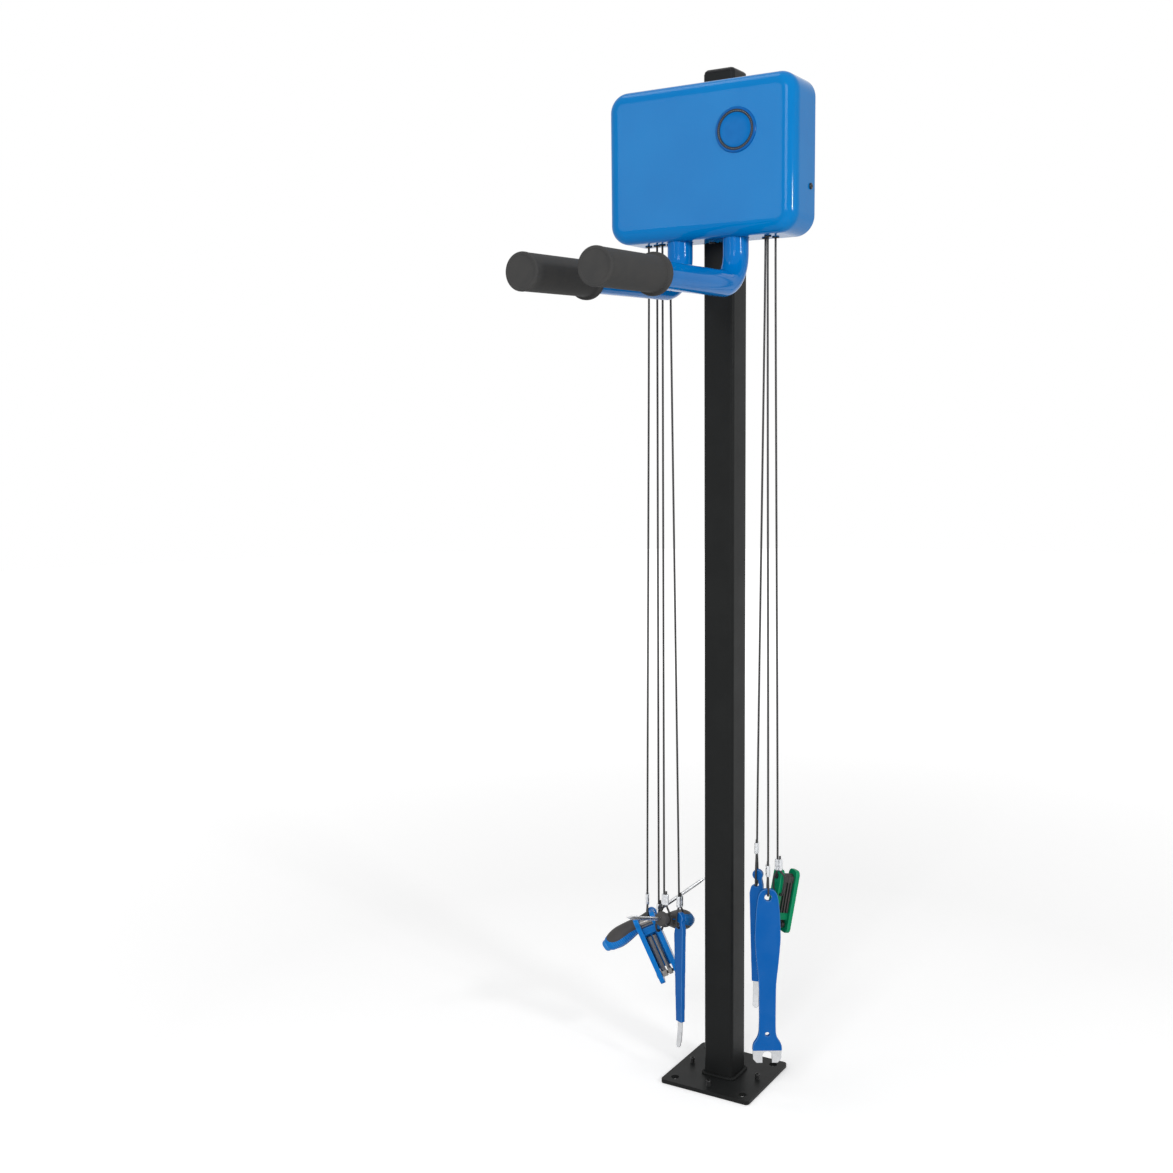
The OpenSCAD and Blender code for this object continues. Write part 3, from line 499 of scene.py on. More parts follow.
def softened(piece: Object, grid: float = 0.7 * MM, rounds: int = 12) -> Object:
    """Round every edge of a piece, as on a dipped coat or a moulding.

    Args:
        piece: Closed object.
        grid: Size of the faces of its new skin in metres.
        rounds: Rounds of smoothing, which set the radius of the rounding.

    Returns:
        The same object, with a plain mesh.
    """
    skin = piece.modifiers.new("skin", "REMESH")
    skin.mode = "VOXEL"
    skin.voxel_size = grid
    skin.use_smooth_shade = True
    soft = piece.modifiers.new("soft", "SMOOTH")
    soft.factor = 0.5
    soft.iterations = rounds
    settle(piece)
    shade(piece.data, 180)
    return piece


def loft(name: str, rings: Sequence[Sequence[Vector]], place: Matrix | None = None,
         looped: bool = False, crease: float = CREASE) -> Object:
    """Join rings of equal size into a closed skin.

    Args:
        name: Name of the object.
        rings: Rings of corners, in order.
        place: Where the object's frame stands in the row frame.
        looped: True where the last ring joins the first, otherwise both ends are capped.
        crease: Angle in degrees past which an edge is sharp.

    Returns:
        The new object.
    """
    sides, count = len(rings[0]), len(rings)
    faces = []
    for i in range(count if looped else count - 1):
        a, b = i * sides, (i + 1) % count * sides
        faces += [[a + k, a + (k + 1) % sides, b + (k + 1) % sides, b + k] for k in range(sides)]
    if not looped:
        faces += [list(range(sides))[::-1], [(count - 1) * sides + k for k in range(sides)]]
    return mesh_from(name, [c for ring in rings for c in ring], faces, place, crease)


def lathe(name: str, profile: Sequence[Pair], place: Matrix | None = None, sides: int = 96,
          spread: Callable[[float, float, float], float] | None = None) -> Object:
    """Turn a profile about the Z axis.

    Args:
        name: Name of the object.
        profile: Points of radius and height. A radius of zero closes the skin in a pole, two poles in a row
            leave the space between them open, and a last point like the first one closes the profile.
        place: Where the object's frame stands in the row frame.
        sides: Corners round the axis.
        spread: Gives the radius from the plain radius, the height and the angle.

    Returns:
        The new object.
    """
    corners: list[Vector] = []
    rows: list[list[int]] = []
    for radius, height in profile:
        start = len(corners)
        if radius <= 0:
            corners.append(Vector((0, 0, height)))
        else:
            for angle in circle(sides):
                corners.append(polar(spread(radius, height, angle) if spread else radius, angle, height))
        rows.append(list(range(start, len(corners))))
    faces: list[list[int]] = []
    for low, high in zip(rows, rows[1:]):
        for k in range(sides):
            nxt = (k + 1) % sides
            if len(low) == 1 and len(high) > 1:
                faces.append([low[0], high[nxt], high[k]])
            elif len(high) == 1 and len(low) > 1:
                faces.append([low[k], low[nxt], high[0]])
            elif len(low) > 1:
                faces.append([low[k], low[nxt], high[nxt], high[k]])
    if profile[0] != profile[-1]:
        faces += [end for end in (rows[0], rows[-1]) if len(end) > 1]
    return mesh_from(name, corners, faces, place, CREASE)


def socket_screw(name: str, profile: Sequence[Pair], socket: float, levels: Pair,
                 place: Matrix | None = None) -> Object:
    """Make a screw with a hexagon socket, upright on the Z axis.

    Args:
        name: Name of the piece.
        profile: Radius and height of its outside, from its lower end to the socket's rim.
        socket: Radius of the socket to its flats.
        levels: Heights of the socket's mouth and floor.
        place: Where its frame stands in the row frame.

    Returns:
        The screw.
    """
    turn = circle(SCREW_SIDES)
    rings = [[polar(radius, a, height) for a in turn] for radius, height in profile]
    for level in levels:
        rings.append([polar(socket / math.cos(a % (math.pi / 3) - math.pi / 6), a, level) for a in turn])
    return loft(name, rings, place)


def from_node(node: str, name: str, width: float = 0.0, steps: int = 2) -> Object:
    """Copy a solid of the frame, merge its loose triangles and round its edges.

    Args:
        node: Name of the solid.
        name: Name of the new piece.
        width: Width of the rounding in metres, or 0 for none.
        steps: Faces across the rounding.

    Returns:
        The new piece, in the solid's place.
    """
    mesh = frame["nodes"][node].data.copy()
    near, flat = 2e-6, math.radians(0.5)
    work = bmesh.new()
    work.from_mesh(mesh)
    bmesh.ops.remove_doubles(work, verts=work.verts, dist=near)
    bmesh.ops.dissolve_limit(work, angle_limit=flat, verts=work.verts, edges=work.edges)
    work.to_mesh(mesh)
    work.free()
    for layer in [a.name for a in mesh.attributes if a.name == "custom_normal"]:
        mesh.attributes.remove(mesh.attributes[layer])
    mesh.materials.clear()
    shade(mesh, CREASE)
    piece = make_object(name, mesh)
    return bevelled(piece, width, steps) if width else piece


def dress(piece: Object, finish: Finish, body: str, replaces: Sequence[str]) -> Object:
    """Give a piece its finish and its body, and hide the solids that it stands for.

    Args:
        piece: The piece, in its place.
        finish: Its finish.
        body: The body that it moves with.
        replaces: Names of the solids that it stands for.

    Returns:
        The same piece.
    """
    piece.data.materials.clear()
    piece.data.materials.append(finish.material())
    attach(piece, body)
    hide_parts(*replaces)
    log.info("%s: %s on %s", piece.name, finish.name, body)
    return piece


def reuse(node: str, name: str, finish: Finish, body: str, width: float, steps: int = 2) -> None:
    """Dress a copy of a solid whose edges are rounded by a width in millimetres."""
    dress(from_node(node, name, width * MM, steps), finish, body, [node])


class PathNodes:
    """A Geometry Nodes tree that turns a path into a piece."""

    def __init__(self, name: str, middle: Callable[[NodeTree, NodeOutputs, NodeSocket], NodeSocket],
                 inputs: dict[str, str]) -> None:
        """Build the tree.

        Args:
            name: Name of the tree.
            middle: Adds the nodes that turn the curve into geometry, and returns its socket.
            inputs: Kind of each input after the path, by name.
        """
        self.tree = bpy.data.node_groups.new(name, "GeometryNodeTree")
        self.ids: dict[str, str] = {}
        for label, kind in {"Geometry": "Geometry", **inputs}.items():
            made = self.tree.interface.new_socket(label, in_out="INPUT", socket_type=f"NodeSocket{kind}")
            self.ids[label] = made.identifier
        self.tree.interface.new_socket("Geometry", in_out="OUTPUT", socket_type="NodeSocketGeometry")
        given = add_node(self.tree, "NodeGroupInput").outputs
        curve = add_node(self.tree, "GeometryNodeMeshToCurve", {"Mesh": given["Geometry"]}).outputs["Curve"]
        shape = middle(self.tree, given, curve)
        real = add_node(self.tree, "GeometryNodeRealizeInstances", {"Geometry": shape})
        paint = add_node(self.tree, "GeometryNodeSetMaterial", {
            "Geometry": real.outputs["Geometry"], "Material": given["Finish"]})
        add_node(self.tree, "NodeGroupOutput", {"Geometry": paint.outputs["Geometry"]})

    def run(self, name: str, path: Sequence[Vector], closed: bool, **values: object) -> Object:
        """Make a piece along a path.

        Args:
            name: Name of the piece.
            path: Points of the path.
            closed: True where the path is a closed loop.
            values: What the inputs get, by name.

        Returns:
            The piece as a plain mesh.
        """
        mesh = bpy.data.meshes.new(name)
        edges = [(i, i + 1) for i in range(len(path) - 1)] + [(len(path) - 1, 0)] * closed
        mesh.from_pydata([tuple(p) for p in path], edges, [])
        piece = make_object(name, mesh)
        nodes = piece.modifiers.new("nodes", "NODES")
        nodes.node_group = self.tree
        for label, value in values.items():
            nodes[self.ids[label]] = value
        return settle(piece)


class Repeater:
    """Sets copies of a part along a path, or turns a path into a tube."""

    def __init__(self) -> None:
        """Build the two node trees."""
        self.along = PathNodes("copies_along_path", self._copies, {
            "Copies": "Int", "Part": "Object", "Finish": "Material", "Spread": "Float", "Seed": "Int"})
        self.tube = PathNodes("round_tube", self._tube, {
            "Radius": "Float", "Sides": "Int", "Finish": "Material"})

    @staticmethod
    def _copies(tree: NodeTree, given: NodeOutputs, curve: NodeSocket) -> NodeSocket:
        """Set copies at even steps along the curve.

        Args:
            tree: The node tree.
            given: Its inputs.
            curve: Socket of the curve.

        Returns:
            The socket of the copies.
        """
        even = add_node(tree, "GeometryNodeResampleCurve", {"Curve": curve, "Count": given["Copies"]},
                        mode="COUNT")
        tangent = add_node(tree, "GeometryNodeInputTangent").outputs["Tangent"]
        low, high = (combine(tree, sign, 1.0, given["Spread"]) for sign in ("SUBTRACT", "ADD"))
        size = add_node(tree, "FunctionNodeRandomValue", {
            RANDOM_LOW: low, RANDOM_HIGH: high, "Seed": given["Seed"]}, data_type="FLOAT")
        part = add_node(tree, "GeometryNodeObjectInfo", {"Object": given["Part"]})
        aim = add_node(tree, "FunctionNodeAlignEulerToVector", {"Vector": tangent}, axis="X")
        return add_node(tree, "GeometryNodeInstanceOnPoints", {
            "Points": even.outputs["Curve"], "Instance": part.outputs["Geometry"],
            "Rotation": aim.outputs["Rotation"], "Scale": size.outputs[RANDOM_RESULT]}).outputs["Instances"]

    @staticmethod
    def _tube(tree: NodeTree, given: NodeOutputs, curve: NodeSocket) -> NodeSocket:
        """Turn the curve into a capped round tube.

        Args:
            tree: The node tree.
            given: Its inputs.
            curve: Socket of the curve.

        Returns:
            The socket of the tube.
        """
        section = add_node(tree, "GeometryNodeCurvePrimitiveCircle", {
            "Resolution": given["Sides"], "Radius": given["Radius"]})
        tube = add_node(tree, "GeometryNodeCurveToMesh", {
            "Curve": curve, "Profile Curve": section.outputs["Curve"], "Fill Caps": True})
        smooth = add_node(tree, "GeometryNodeSetShadeSmooth", {"Geometry": tube.outputs["Mesh"]})
        return smooth.outputs["Geometry"]

    def sweep(self, name: str, path: Sequence[Vector], radius: float, finish: Finish) -> Object:
        """Make a round tube along a path.

        Args:
            name: Name of the tube.
            path: Points of its centreline.
            radius: Radius of the tube in metres.
            finish: Finish of the tube.

        Returns:
            The tube as a plain mesh.
        """
        sides, crease = 14, 50
        piece = self.tube.run(name, path, False, Radius=radius, Sides=sides, Finish=finish.material())
        face_out(piece.data)
        shade(piece.data, crease)
        return piece

    def copies(self, name: str, path: Sequence[Vector], count: int, part: Object,
               finish: Finish, spread: float = 0.0, seed: int = 1) -> Object:
        """Set copies of a part at even steps round a closed path.

        Args:
            name: Name of the piece.
            path: Points of the path.
            count: Number of copies.
            part: The part that is copied, made about its own origin. It is removed afterwards.
            finish: Finish of the copies.
            spread: Share by which the size of a copy may differ.
            seed: Seed of the size spread.

        Returns:
            The copies as one plain mesh.
        """
        piece = self.along.run(name, path, True, Copies=count, Part=part, Finish=finish.material(),
                               Spread=spread, Seed=seed)
        bpy.data.objects.remove(part)
        crease = 40
        shade(piece.data, crease)
        return piece


@dataclass
class Studio:
    """Camera, lights and floor.

    Attributes:
        eye: Place of the camera.
        azimuth: Direction of the view, turned from +Y towards -X, in degrees.
        pitch: Angle of the view below the horizon, in degrees.
        roll: Turn of the picture, in degrees.
        focal_pixels: Focal length in pixels of the picture.
        picture_pixels: Width of the picture.
        sensor: Width of the camera's sensor in millimetres.
        room: Strength of the even light from all sides.
        lamps: Name, place, aim, size in metres and power in watts of each lamp: soft lights in front, at the
            side and on top, a card that the face mirrors, and a strip that the cover's right edge mirrors.
        floor_grey: Colour of the floor without its glow.
        floor_rough: Roughness of the floor.
        glow_reach: Distances from the middle between which the floor's glow rises.
        glow: Strength of the floor's glow at these distances.
        floor_radius: Radius of the floor.
        floor_gap: Depth of the floor below the plate.
    """

    eye: Point = (0.9548, -1.9797, 1.0810)
    azimuth: float = 31.44
    pitch: float = 7.04
    roll: float = -0.65
    focal_pixels: float = 1400.0
    picture_pixels: float = 1173.0
    sensor: float = 36.0
    room: float = 0.45
    lamps: tuple[tuple[str, Point, Point, Pair, float], ...] = (
        ("key", (0.7, -3.3, 2.4), (0.0, 0.0, 1.1), (1.3, 1.3), 52.0),
        ("card", (-1.53, -3.11, 2.04), (0.0, -0.1, 1.45), (0.8, 0.68), 6.5),
        ("side", (3.2, 0.1, 1.5), (0.0, 0.0, 1.0), (0.9, 1.4), 2.5),
        ("strip", (2.2, -0.85, 1.66), (0.0, 0.0, 1.4), (0.34, 0.15), 18.0),
        ("top", (-0.9, -0.3, 3.6), (0.0, 0.0, 1.0), (1.0, 1.0), 12.0))
    floor_grey: float = 0.9
    floor_rough: float = 0.9
    glow_reach: Pair = (1.0, 4.0)
    glow: Pair = (0.28, 0.72)
    floor_radius: float = 9.0
    floor_gap: float = 0.5 * MM

    def build(self) -> None:
        """Set the camera, the world, the lights and the floor."""
        self._camera()
        self._world()
        for name, place, aim, size, power in self.lamps:
            self._softbox(name, place, aim, size, power)
        self._floor()
        bpy.context.scene.view_settings.view_transform = "Standard"

    def _camera(self) -> None:
        """Place the camera where the picture was taken from."""
        a, p, r = (math.radians(v) for v in (self.azimuth, self.pitch, self.roll))
        level = Vector((-math.sin(a), math.cos(a), 0))
        side = Vector((math.cos(a), math.sin(a), 0))
        ahead = level * math.cos(p) - Vector((0, 0, math.sin(p)))
        right = side * math.cos(r) + side.cross(ahead) * math.sin(r)
        up = right.cross(ahead)
        data = bpy.data.cameras.new("camera")
        data.sensor_width = self.sensor
        data.lens = self.focal_pixels / self.picture_pixels * self.sensor
        camera = bpy.data.objects.new("camera", data)
        camera.matrix_world = moved(self.eye) @ Matrix((right, up, -ahead)).transposed().to_4x4()
        bpy.context.scene.collection.objects.link(camera)
        bpy.context.scene.camera = camera

    def _world(self) -> None:
        """Light the object evenly, with a white background for the camera and for reflections."""
        world = bpy.data.worlds.new("studio")
        bpy.context.scene.world = world
        world.use_nodes = True
        tree = world.node_tree
        room = tree.nodes["Background"]
        feed(tree, room, {"Color": WHITE, "Strength": self.room})
        seen = add_node(tree, "ShaderNodeBackground", {"Color": WHITE})
        mix = add_node(tree, "ShaderNodeMixShader", {
            "Fac": self._seen_rays(tree), 1: room.outputs["Background"], 2: seen.outputs["Background"]})
        feed(tree, tree.nodes["World Output"], {"Surface": mix.outputs["Shader"]})

    @staticmethod
    def _seen_rays(tree: NodeTree) -> NodeSocket:
        """Return a socket that is 1 for camera, glossy and transmission rays and 0 for the rest."""
        rays = add_node(tree, "ShaderNodeLightPath").outputs
        mirrored = combine(tree, "MAXIMUM", rays["Is Camera Ray"], rays["Is Glossy Ray"])
        return combine(tree, "MAXIMUM", mirrored, rays["Is Transmission Ray"])

    @staticmethod
    def _softbox(name: str, place: Point, aim: Point, size: Pair, power: float) -> None:
        """Add one rectangular area light.

        Args:
            name: Name of the light.
            place: Where it hangs.
            aim: The point that it faces.
            size: Its width and height in metres.
            power: Its power in watts.
        """
        data = bpy.data.lights.new(name, "AREA")
        data.shape = "RECTANGLE"
        data.size, data.size_y = size
        data.energy = power
        light = bpy.data.objects.new(name, data)
        facing = (Vector(aim) - Vector(place)).to_track_quat("-Z", "Y")
        light.matrix_world = moved(place) @ facing.to_matrix().to_4x4()
        bpy.context.scene.collection.objects.link(light)

    def _floor(self) -> None:
        """Lay a wide white floor that keeps a soft shadow."""
        made = bpy.data.materials.new("studio_floor")
        made.use_nodes = True
        tree = made.node_tree
        shader = tree.nodes["Principled BSDF"]
        feed(tree, shader, {"Base Color": (self.floor_grey,) * 3 + (1.0,), "Roughness": self.floor_rough})
        place = add_node(tree, "ShaderNodeTexCoord").outputs["Object"]
        far = add_node(tree, "ShaderNodeVectorMath", {0: place}, operation="LENGTH").outputs["Value"]
        rise = stretch(tree, far, self.glow_reach, self.glow)
        glow = add_node(tree, "ShaderNodeEmission", {
            "Strength": combine(tree, "MULTIPLY", self._seen_rays(tree), rise)})
        both = add_node(tree, "ShaderNodeAddShader", {0: shader.outputs["BSDF"], 1: glow.outputs["Emission"]})
        feed(tree, tree.nodes["Material Output"], {"Surface": both.outputs["Shader"]})
        mesh = bpy.data.meshes.new("studio_floor")
        sides = 48
        ring = [polar(self.floor_radius, a, -self.floor_gap) for a in circle(sides)]
        mesh.from_pydata(ring, [], [list(range(len(ring)))])
        mesh.materials.append(made)
        make_object("studio_floor", mesh)


@dataclass
class Tether:
    """One jacketed steel cable with its crimped loop, in millimetres where nothing else is said.

    Attributes:
        node: Name of the cable's solid.
        leave: Where it leaves the head, as X and Y.
        hang: Where the loop carries its tool.
        turn: Direction of the loop seen from above, in degrees.
        rise: Height of the ferrule over the tool.
        loop: Route of the loop along, across and up.
        diameter: Diameter over the jacket in metres.
        top: Height of its upper end inside the head.
        lip: Height at which it leaves the head.
        strand: Distance of each strand from the middle of the ferrule.
        ferrule: Length of the ferrule.
        tail: Length of the free end above the ferrule.
        straight: Length over which it leaves the head and meets the ferrule upright.
    """

    node: str
    leave: Pair
    hang: Point
    turn: float
    rise: float
    loop: tuple[Point, ...]
    diameter: float = 3.2 * MM
    top: float = 1362.0
    lip: float = 1333.9
    strand: float = 1.9
    ferrule: float = 17.5
    tail: float = 5.0
    straight: float = 110.0

    def local(self, place: Sequence[float]) -> Vector:
        """Turn a point of the loop's frame into the row frame, in metres."""
        return (Vector(self.hang) + turned(rz=self.turn) @ Vector(place)) * MM

    def route(self) -> list[Vector]:
        """Return the centreline: down from the head, through the ferrule, round the loop and back."""
        top, lip = (Vector((*self.leave, height)) * MM for height in (self.top, self.lip))
        crimp_top = self.local((-self.strand, 0, self.rise + self.ferrule))
        crimp_low = self.local((-self.strand, 0, self.rise))
        back_low = self.local((self.strand, 0, self.rise))
        back_top = self.local((self.strand, 0, self.rise + self.ferrule + self.tail))
        down = Vector((0, 0, -self.straight * MM))
        steps, inside = 24, 0.2
        fall = []
        for t in (i / steps for i in range(steps + 1)):
            fall.append(lip * (1 - t)**3 + (lip + down) * 3 * t * (1 - t)**2
                        + (crimp_top - down) * 3 * t**2 * (1 - t) + crimp_top * t**3)
        bottom = smooth_path([crimp_low + (crimp_top - crimp_low) * inside, crimp_low]
                             + [self.local(p) for p in self.loop]
                             + [back_low, back_low + (back_top - back_low) * inside], 6)
        return [top] + fall + bottom + [back_top]

    def build(self, repeater: Repeater, number: int) -> None:
        """Args:
            repeater: Geometry Nodes that sweep the tube.
            number: Number of the tether, for the piece names.
        """
        path = self.route()
        cable = repeater.sweep(f"tether_{number}_cable", path, self.diameter / 2, Finishes.JACKET)
        dress(cable, Finishes.JACKET, "stand", [self.node])
        crimp = self._crimp(f"tether_{number}_ferrule")
        dress(crimp, Finishes.CRIMP, "stand", ["cable_ferrules"])

    def _crimp(self, name: str) -> Object:
        """Make the double-barrel ferrule with its pressed waists, one ring for each share of its height."""
        half_long, half_short, groove_width, sides = 6.0, 3.5, 1.6, 32
        groove, squeeze, squeeze_reach, end_size, swell, squareness = 0.18, 0.13, 0.08, 0.94, 0.4, 0.8
        pinches = (0.27, 0.73)
        levels = [0.0, 0.03, 0.1, 0.18, 0.23, 0.27, 0.31, 0.36, 0.43, 0.5, 0.57, 0.64, 0.69, 0.73, 0.77, 0.82,
                  0.9, 0.97, 1.0]
        rings = []
        for level in levels:
            near = min(abs(level - pinch) for pinch in pinches)
            press = 1 - squeeze * max(0.0, 1 - (near / squeeze_reach)**2)
            edge = end_size if level in (0.0, 1.0) else 1.0
            ring = []
            for angle in circle(sides):
                x = half_long * edge * math.cos(angle) * (2 - press)**swell
                middle = 1 - groove * math.exp(-(x / groove_width)**2)
                side = math.copysign(abs(math.sin(angle))**squareness, math.sin(angle))
                ring.append(Vector((x, half_short * edge * press * middle * side, level * self.ferrule)) * MM)
            rings.append(ring)
        return loft(name, rings, moved(self.local((0, 0, self.rise))) @ turned(rz=self.turn), crease=60)


@dataclass
class Tethers:
    """The seven cables, left to right as they leave the head.

    Attributes:
        lean_loop: Noose round the neck of the leaning screwdriver.
        wall_loop: Loop through the wall of the hex key set.
        neck_loop: Noose round the neck of the other screwdriver.
        hook_loop: Loop over a lever's hook.
        hole_loop: Loop through the hang hole of the wrench.
        star_loop: Loop through the wall of the star key set.
    """

    lean_loop: tuple[Point, ...] = ((-12, 0, 0), (-8.5, -4.8, -7), (0, -6.9, -9.9), (8.5, -4.8, -7),
                                    (12, 0, 0))
    wall_loop: tuple[Point, ...] = ((-8.8, 0, 10), (-5.4, 0, 0), (5.4, 0, 0), (8.8, 0, 10))
    neck_loop: tuple[Point, ...] = ((-11.6, 0, 0), (-8.2, -2.6, -7.8), (0, -3.7, -11), (8.2, -2.6, -7.8),
                                    (11.6, 0, 0))
    hook_loop: tuple[Point, ...] = ((-6.6, 0, 22), (-5.8, 0, 0), (5.8, 0, 0), (6.6, 0, 22))
    hole_loop: tuple[Point, ...] = ((-8, 0, 5), (-4.5, 0, 0), (4.5, 0, 0), (8, 0, 5))
    star_loop: tuple[Point, ...] = ((-8, 0, 24), (-5.4, 0, 0), (5.4, -0.4, 0), (9.4, -0.4, 29))

    def all(self) -> list[Tether]:
        """Return the seven tethers with their routes."""
        return [
            Tether("cable_left_1", (-110, -42), (-129, -25, 252), VIEW_YAW + 90, 24, self.lean_loop),
            Tether("cable_left_2", (-94, -45), (-93, -49.5, 245.5), VIEW_YAW + 45, 27, self.wall_loop),
            Tether("cable_left_3", (-82, -50), (-78, -58, 269.5), 0, 24, self.neck_loop),
            Tether("cable_left_4", (-73, -42), (-54, -53, 260), 66, 33, self.hook_loop),
            Tether("cable_right_1", (83, -36), (65, -19, 341), -78, 50, self.hook_loop),
            Tether("cable_right_2", (96, -57), (100.5, -56, 340.5), VIEW_YAW + 90, 30, self.hole_loop),
            Tether("cable_right_3", (100, -38), (106.5, -28.5, 334), VIEW_YAW - 23, 39, self.star_loop),
        ]

    def build(self, repeater: Repeater) -> None:
        """Make every tether."""
        for number, tether in enumerate(self.all(), 1):
            tether.build(repeater, number)


@dataclass
class Arms:
    """The two bent tubes with their rubber grips, in metres and degrees.

    Attributes:
        spread: Distance of each arm from the middle.
        depth: Y of the upright part.
        top: Height of the tube's upper end.
        corner: Height of the bend's corner.
        reach: Distance from the upright part to the front of the grip.
        bend: Radius of the bend.
        droop: Fall of the arm from level.
        splay: Turn of the arm outwards.
        tube: Radius of the tube.
        wall: Wall of the tube.
        grip: Radius of the grip.
        grip_length: Length of the grip.
        flange: Radius of the grip's rear flange.
        flange_thick: Thickness of the flange.
    """

    spread: float = 46.2 * MM
    depth: float = -60.1 * MM
    top: float = 1440 * MM
    corner: float = 1267 * MM
    reach: float = 419 * MM
    bend: float = 48 * MM
    droop: float = 0.9
    splay: float = 1.1
    tube: float = 19.05 * MM
    wall: float = 3 * MM
    grip: float = 24.5 * MM
    grip_length: float = 159 * MM
    flange: float = 28.8 * MM
    flange_thick: float = 8 * MM

    def __post_init__(self) -> None:
        """Work out the bend's angle, the length that it takes and the straight length of the arm."""
        self.turn = math.radians(90 - self.droop)
        self.leg = self.bend * math.tan(self.turn / 2)
        self.run = self.reach / math.cos(math.radians(self.droop)) - self.leg

    def build(self) -> None:
        """Make both arms and both grips."""
        for side, hand in ((-1, "left"), (1, "right")):
            foot = moved((side * self.spread, self.depth, self.corner + self.leg))
            start = foot @ turned(rz=-90 + side * self.splay)
            shift = moved((self.bend - self.bend * math.cos(self.turn), 0, -self.bend * math.sin(self.turn)))
            along = start @ shift @ turned(ry=self.droop)
            dress(self._tube(f"arm_{hand}_tube", start), Finishes.ARM, "stand", [f"arm_{hand}"])
            grip = self._grip(f"grip_{hand}_sleeve", along @ turned(ry=90))
            dress(grip, Finishes.GRIP, "stand", [f"grip_{hand}"])

    def _tube(self, name: str, place: Matrix) -> Object:
        """Make one bent tube, hollow and open at both ends.

        Args:
            name: Name of the piece.
            place: Frame at the upper end of the bend, with +X along the arm.

        Returns:
            The tube.
        """
        steps, sides, margin, inside = 28, 56, 3 * MM, 4 * MM
        path = [Vector((0, 0, self.top - self.corner - self.leg)), Vector((0, 0, margin))]
        ways = [Vector((0, 0, -1)), Vector((0, 0, -1))]
        for a in (self.turn * i / steps for i in range(steps + 1)):
            path.append(Vector((self.bend * (1 - math.cos(a)), 0, -self.bend * math.sin(a))))
            ways.append(Vector((math.sin(a), 0, -math.cos(a))))
        last, end = path[-1], ways[-1]
        path += [last + end * margin, last + end * (self.run - inside)]
        ways += [end, end]
        across = Vector((0, 1, 0))
        rings = []
        for radius, order in ((self.tube, 1), (self.tube - self.wall, -1)):
            for spot, way in list(zip(path, ways))[::order]:
                up = across.cross(way)
                rings.append([spot + radius * (math.cos(a) * across + math.sin(a) * up)
                              for a in circle(sides)])
        return loft(name, rings, place, looped=True)

    def _grip(self, name: str, place: Matrix) -> Object:
        """Make one closed rubber grip with its rear flange and rounded front.

        Args:
            name: Name of the piece.
            place: Frame at the front end of the bend, with +Z along the arm.

        Returns:
            The grip.
        """
        front, rear = self.run, self.run - self.grip_length
        step = rear + self.flange_thick
        soft, lip, swell, floor = 2.5 * MM, 1.6 * MM, 0.5 * MM, front - 4 * MM
        root = in_metres(((0.9, 0.2), (0.2, 0.9), (0, 2)))
        groove = in_metres(((0, -7), (-0.35, -5.6), (-0.35, -5), (0.5, -4.2)))
        face = in_metres(((-3.4, -0.1), (-4, -0.6), (-6, -0.7)))
        profile = [(self.tube, rear)] + arc((self.flange - soft, rear + soft), soft, -90, 0, 6)
        profile += arc((self.flange - soft, step - soft), soft, 0, 80, 6)
        profile += [(self.grip + out, step + on) for out, on in root]
        profile += [(self.grip + out, front + on) for out, on in groove]
        profile += arc((self.grip + swell - lip, front - lip), lip, 0, 85, 6)
        profile += [(self.grip + out, front + on) for out, on in face]
        profile += [(0, front - 0.3 * MM), (0, floor), (self.tube, floor), (self.tube, rear)]
        return lathe(name, profile, place)


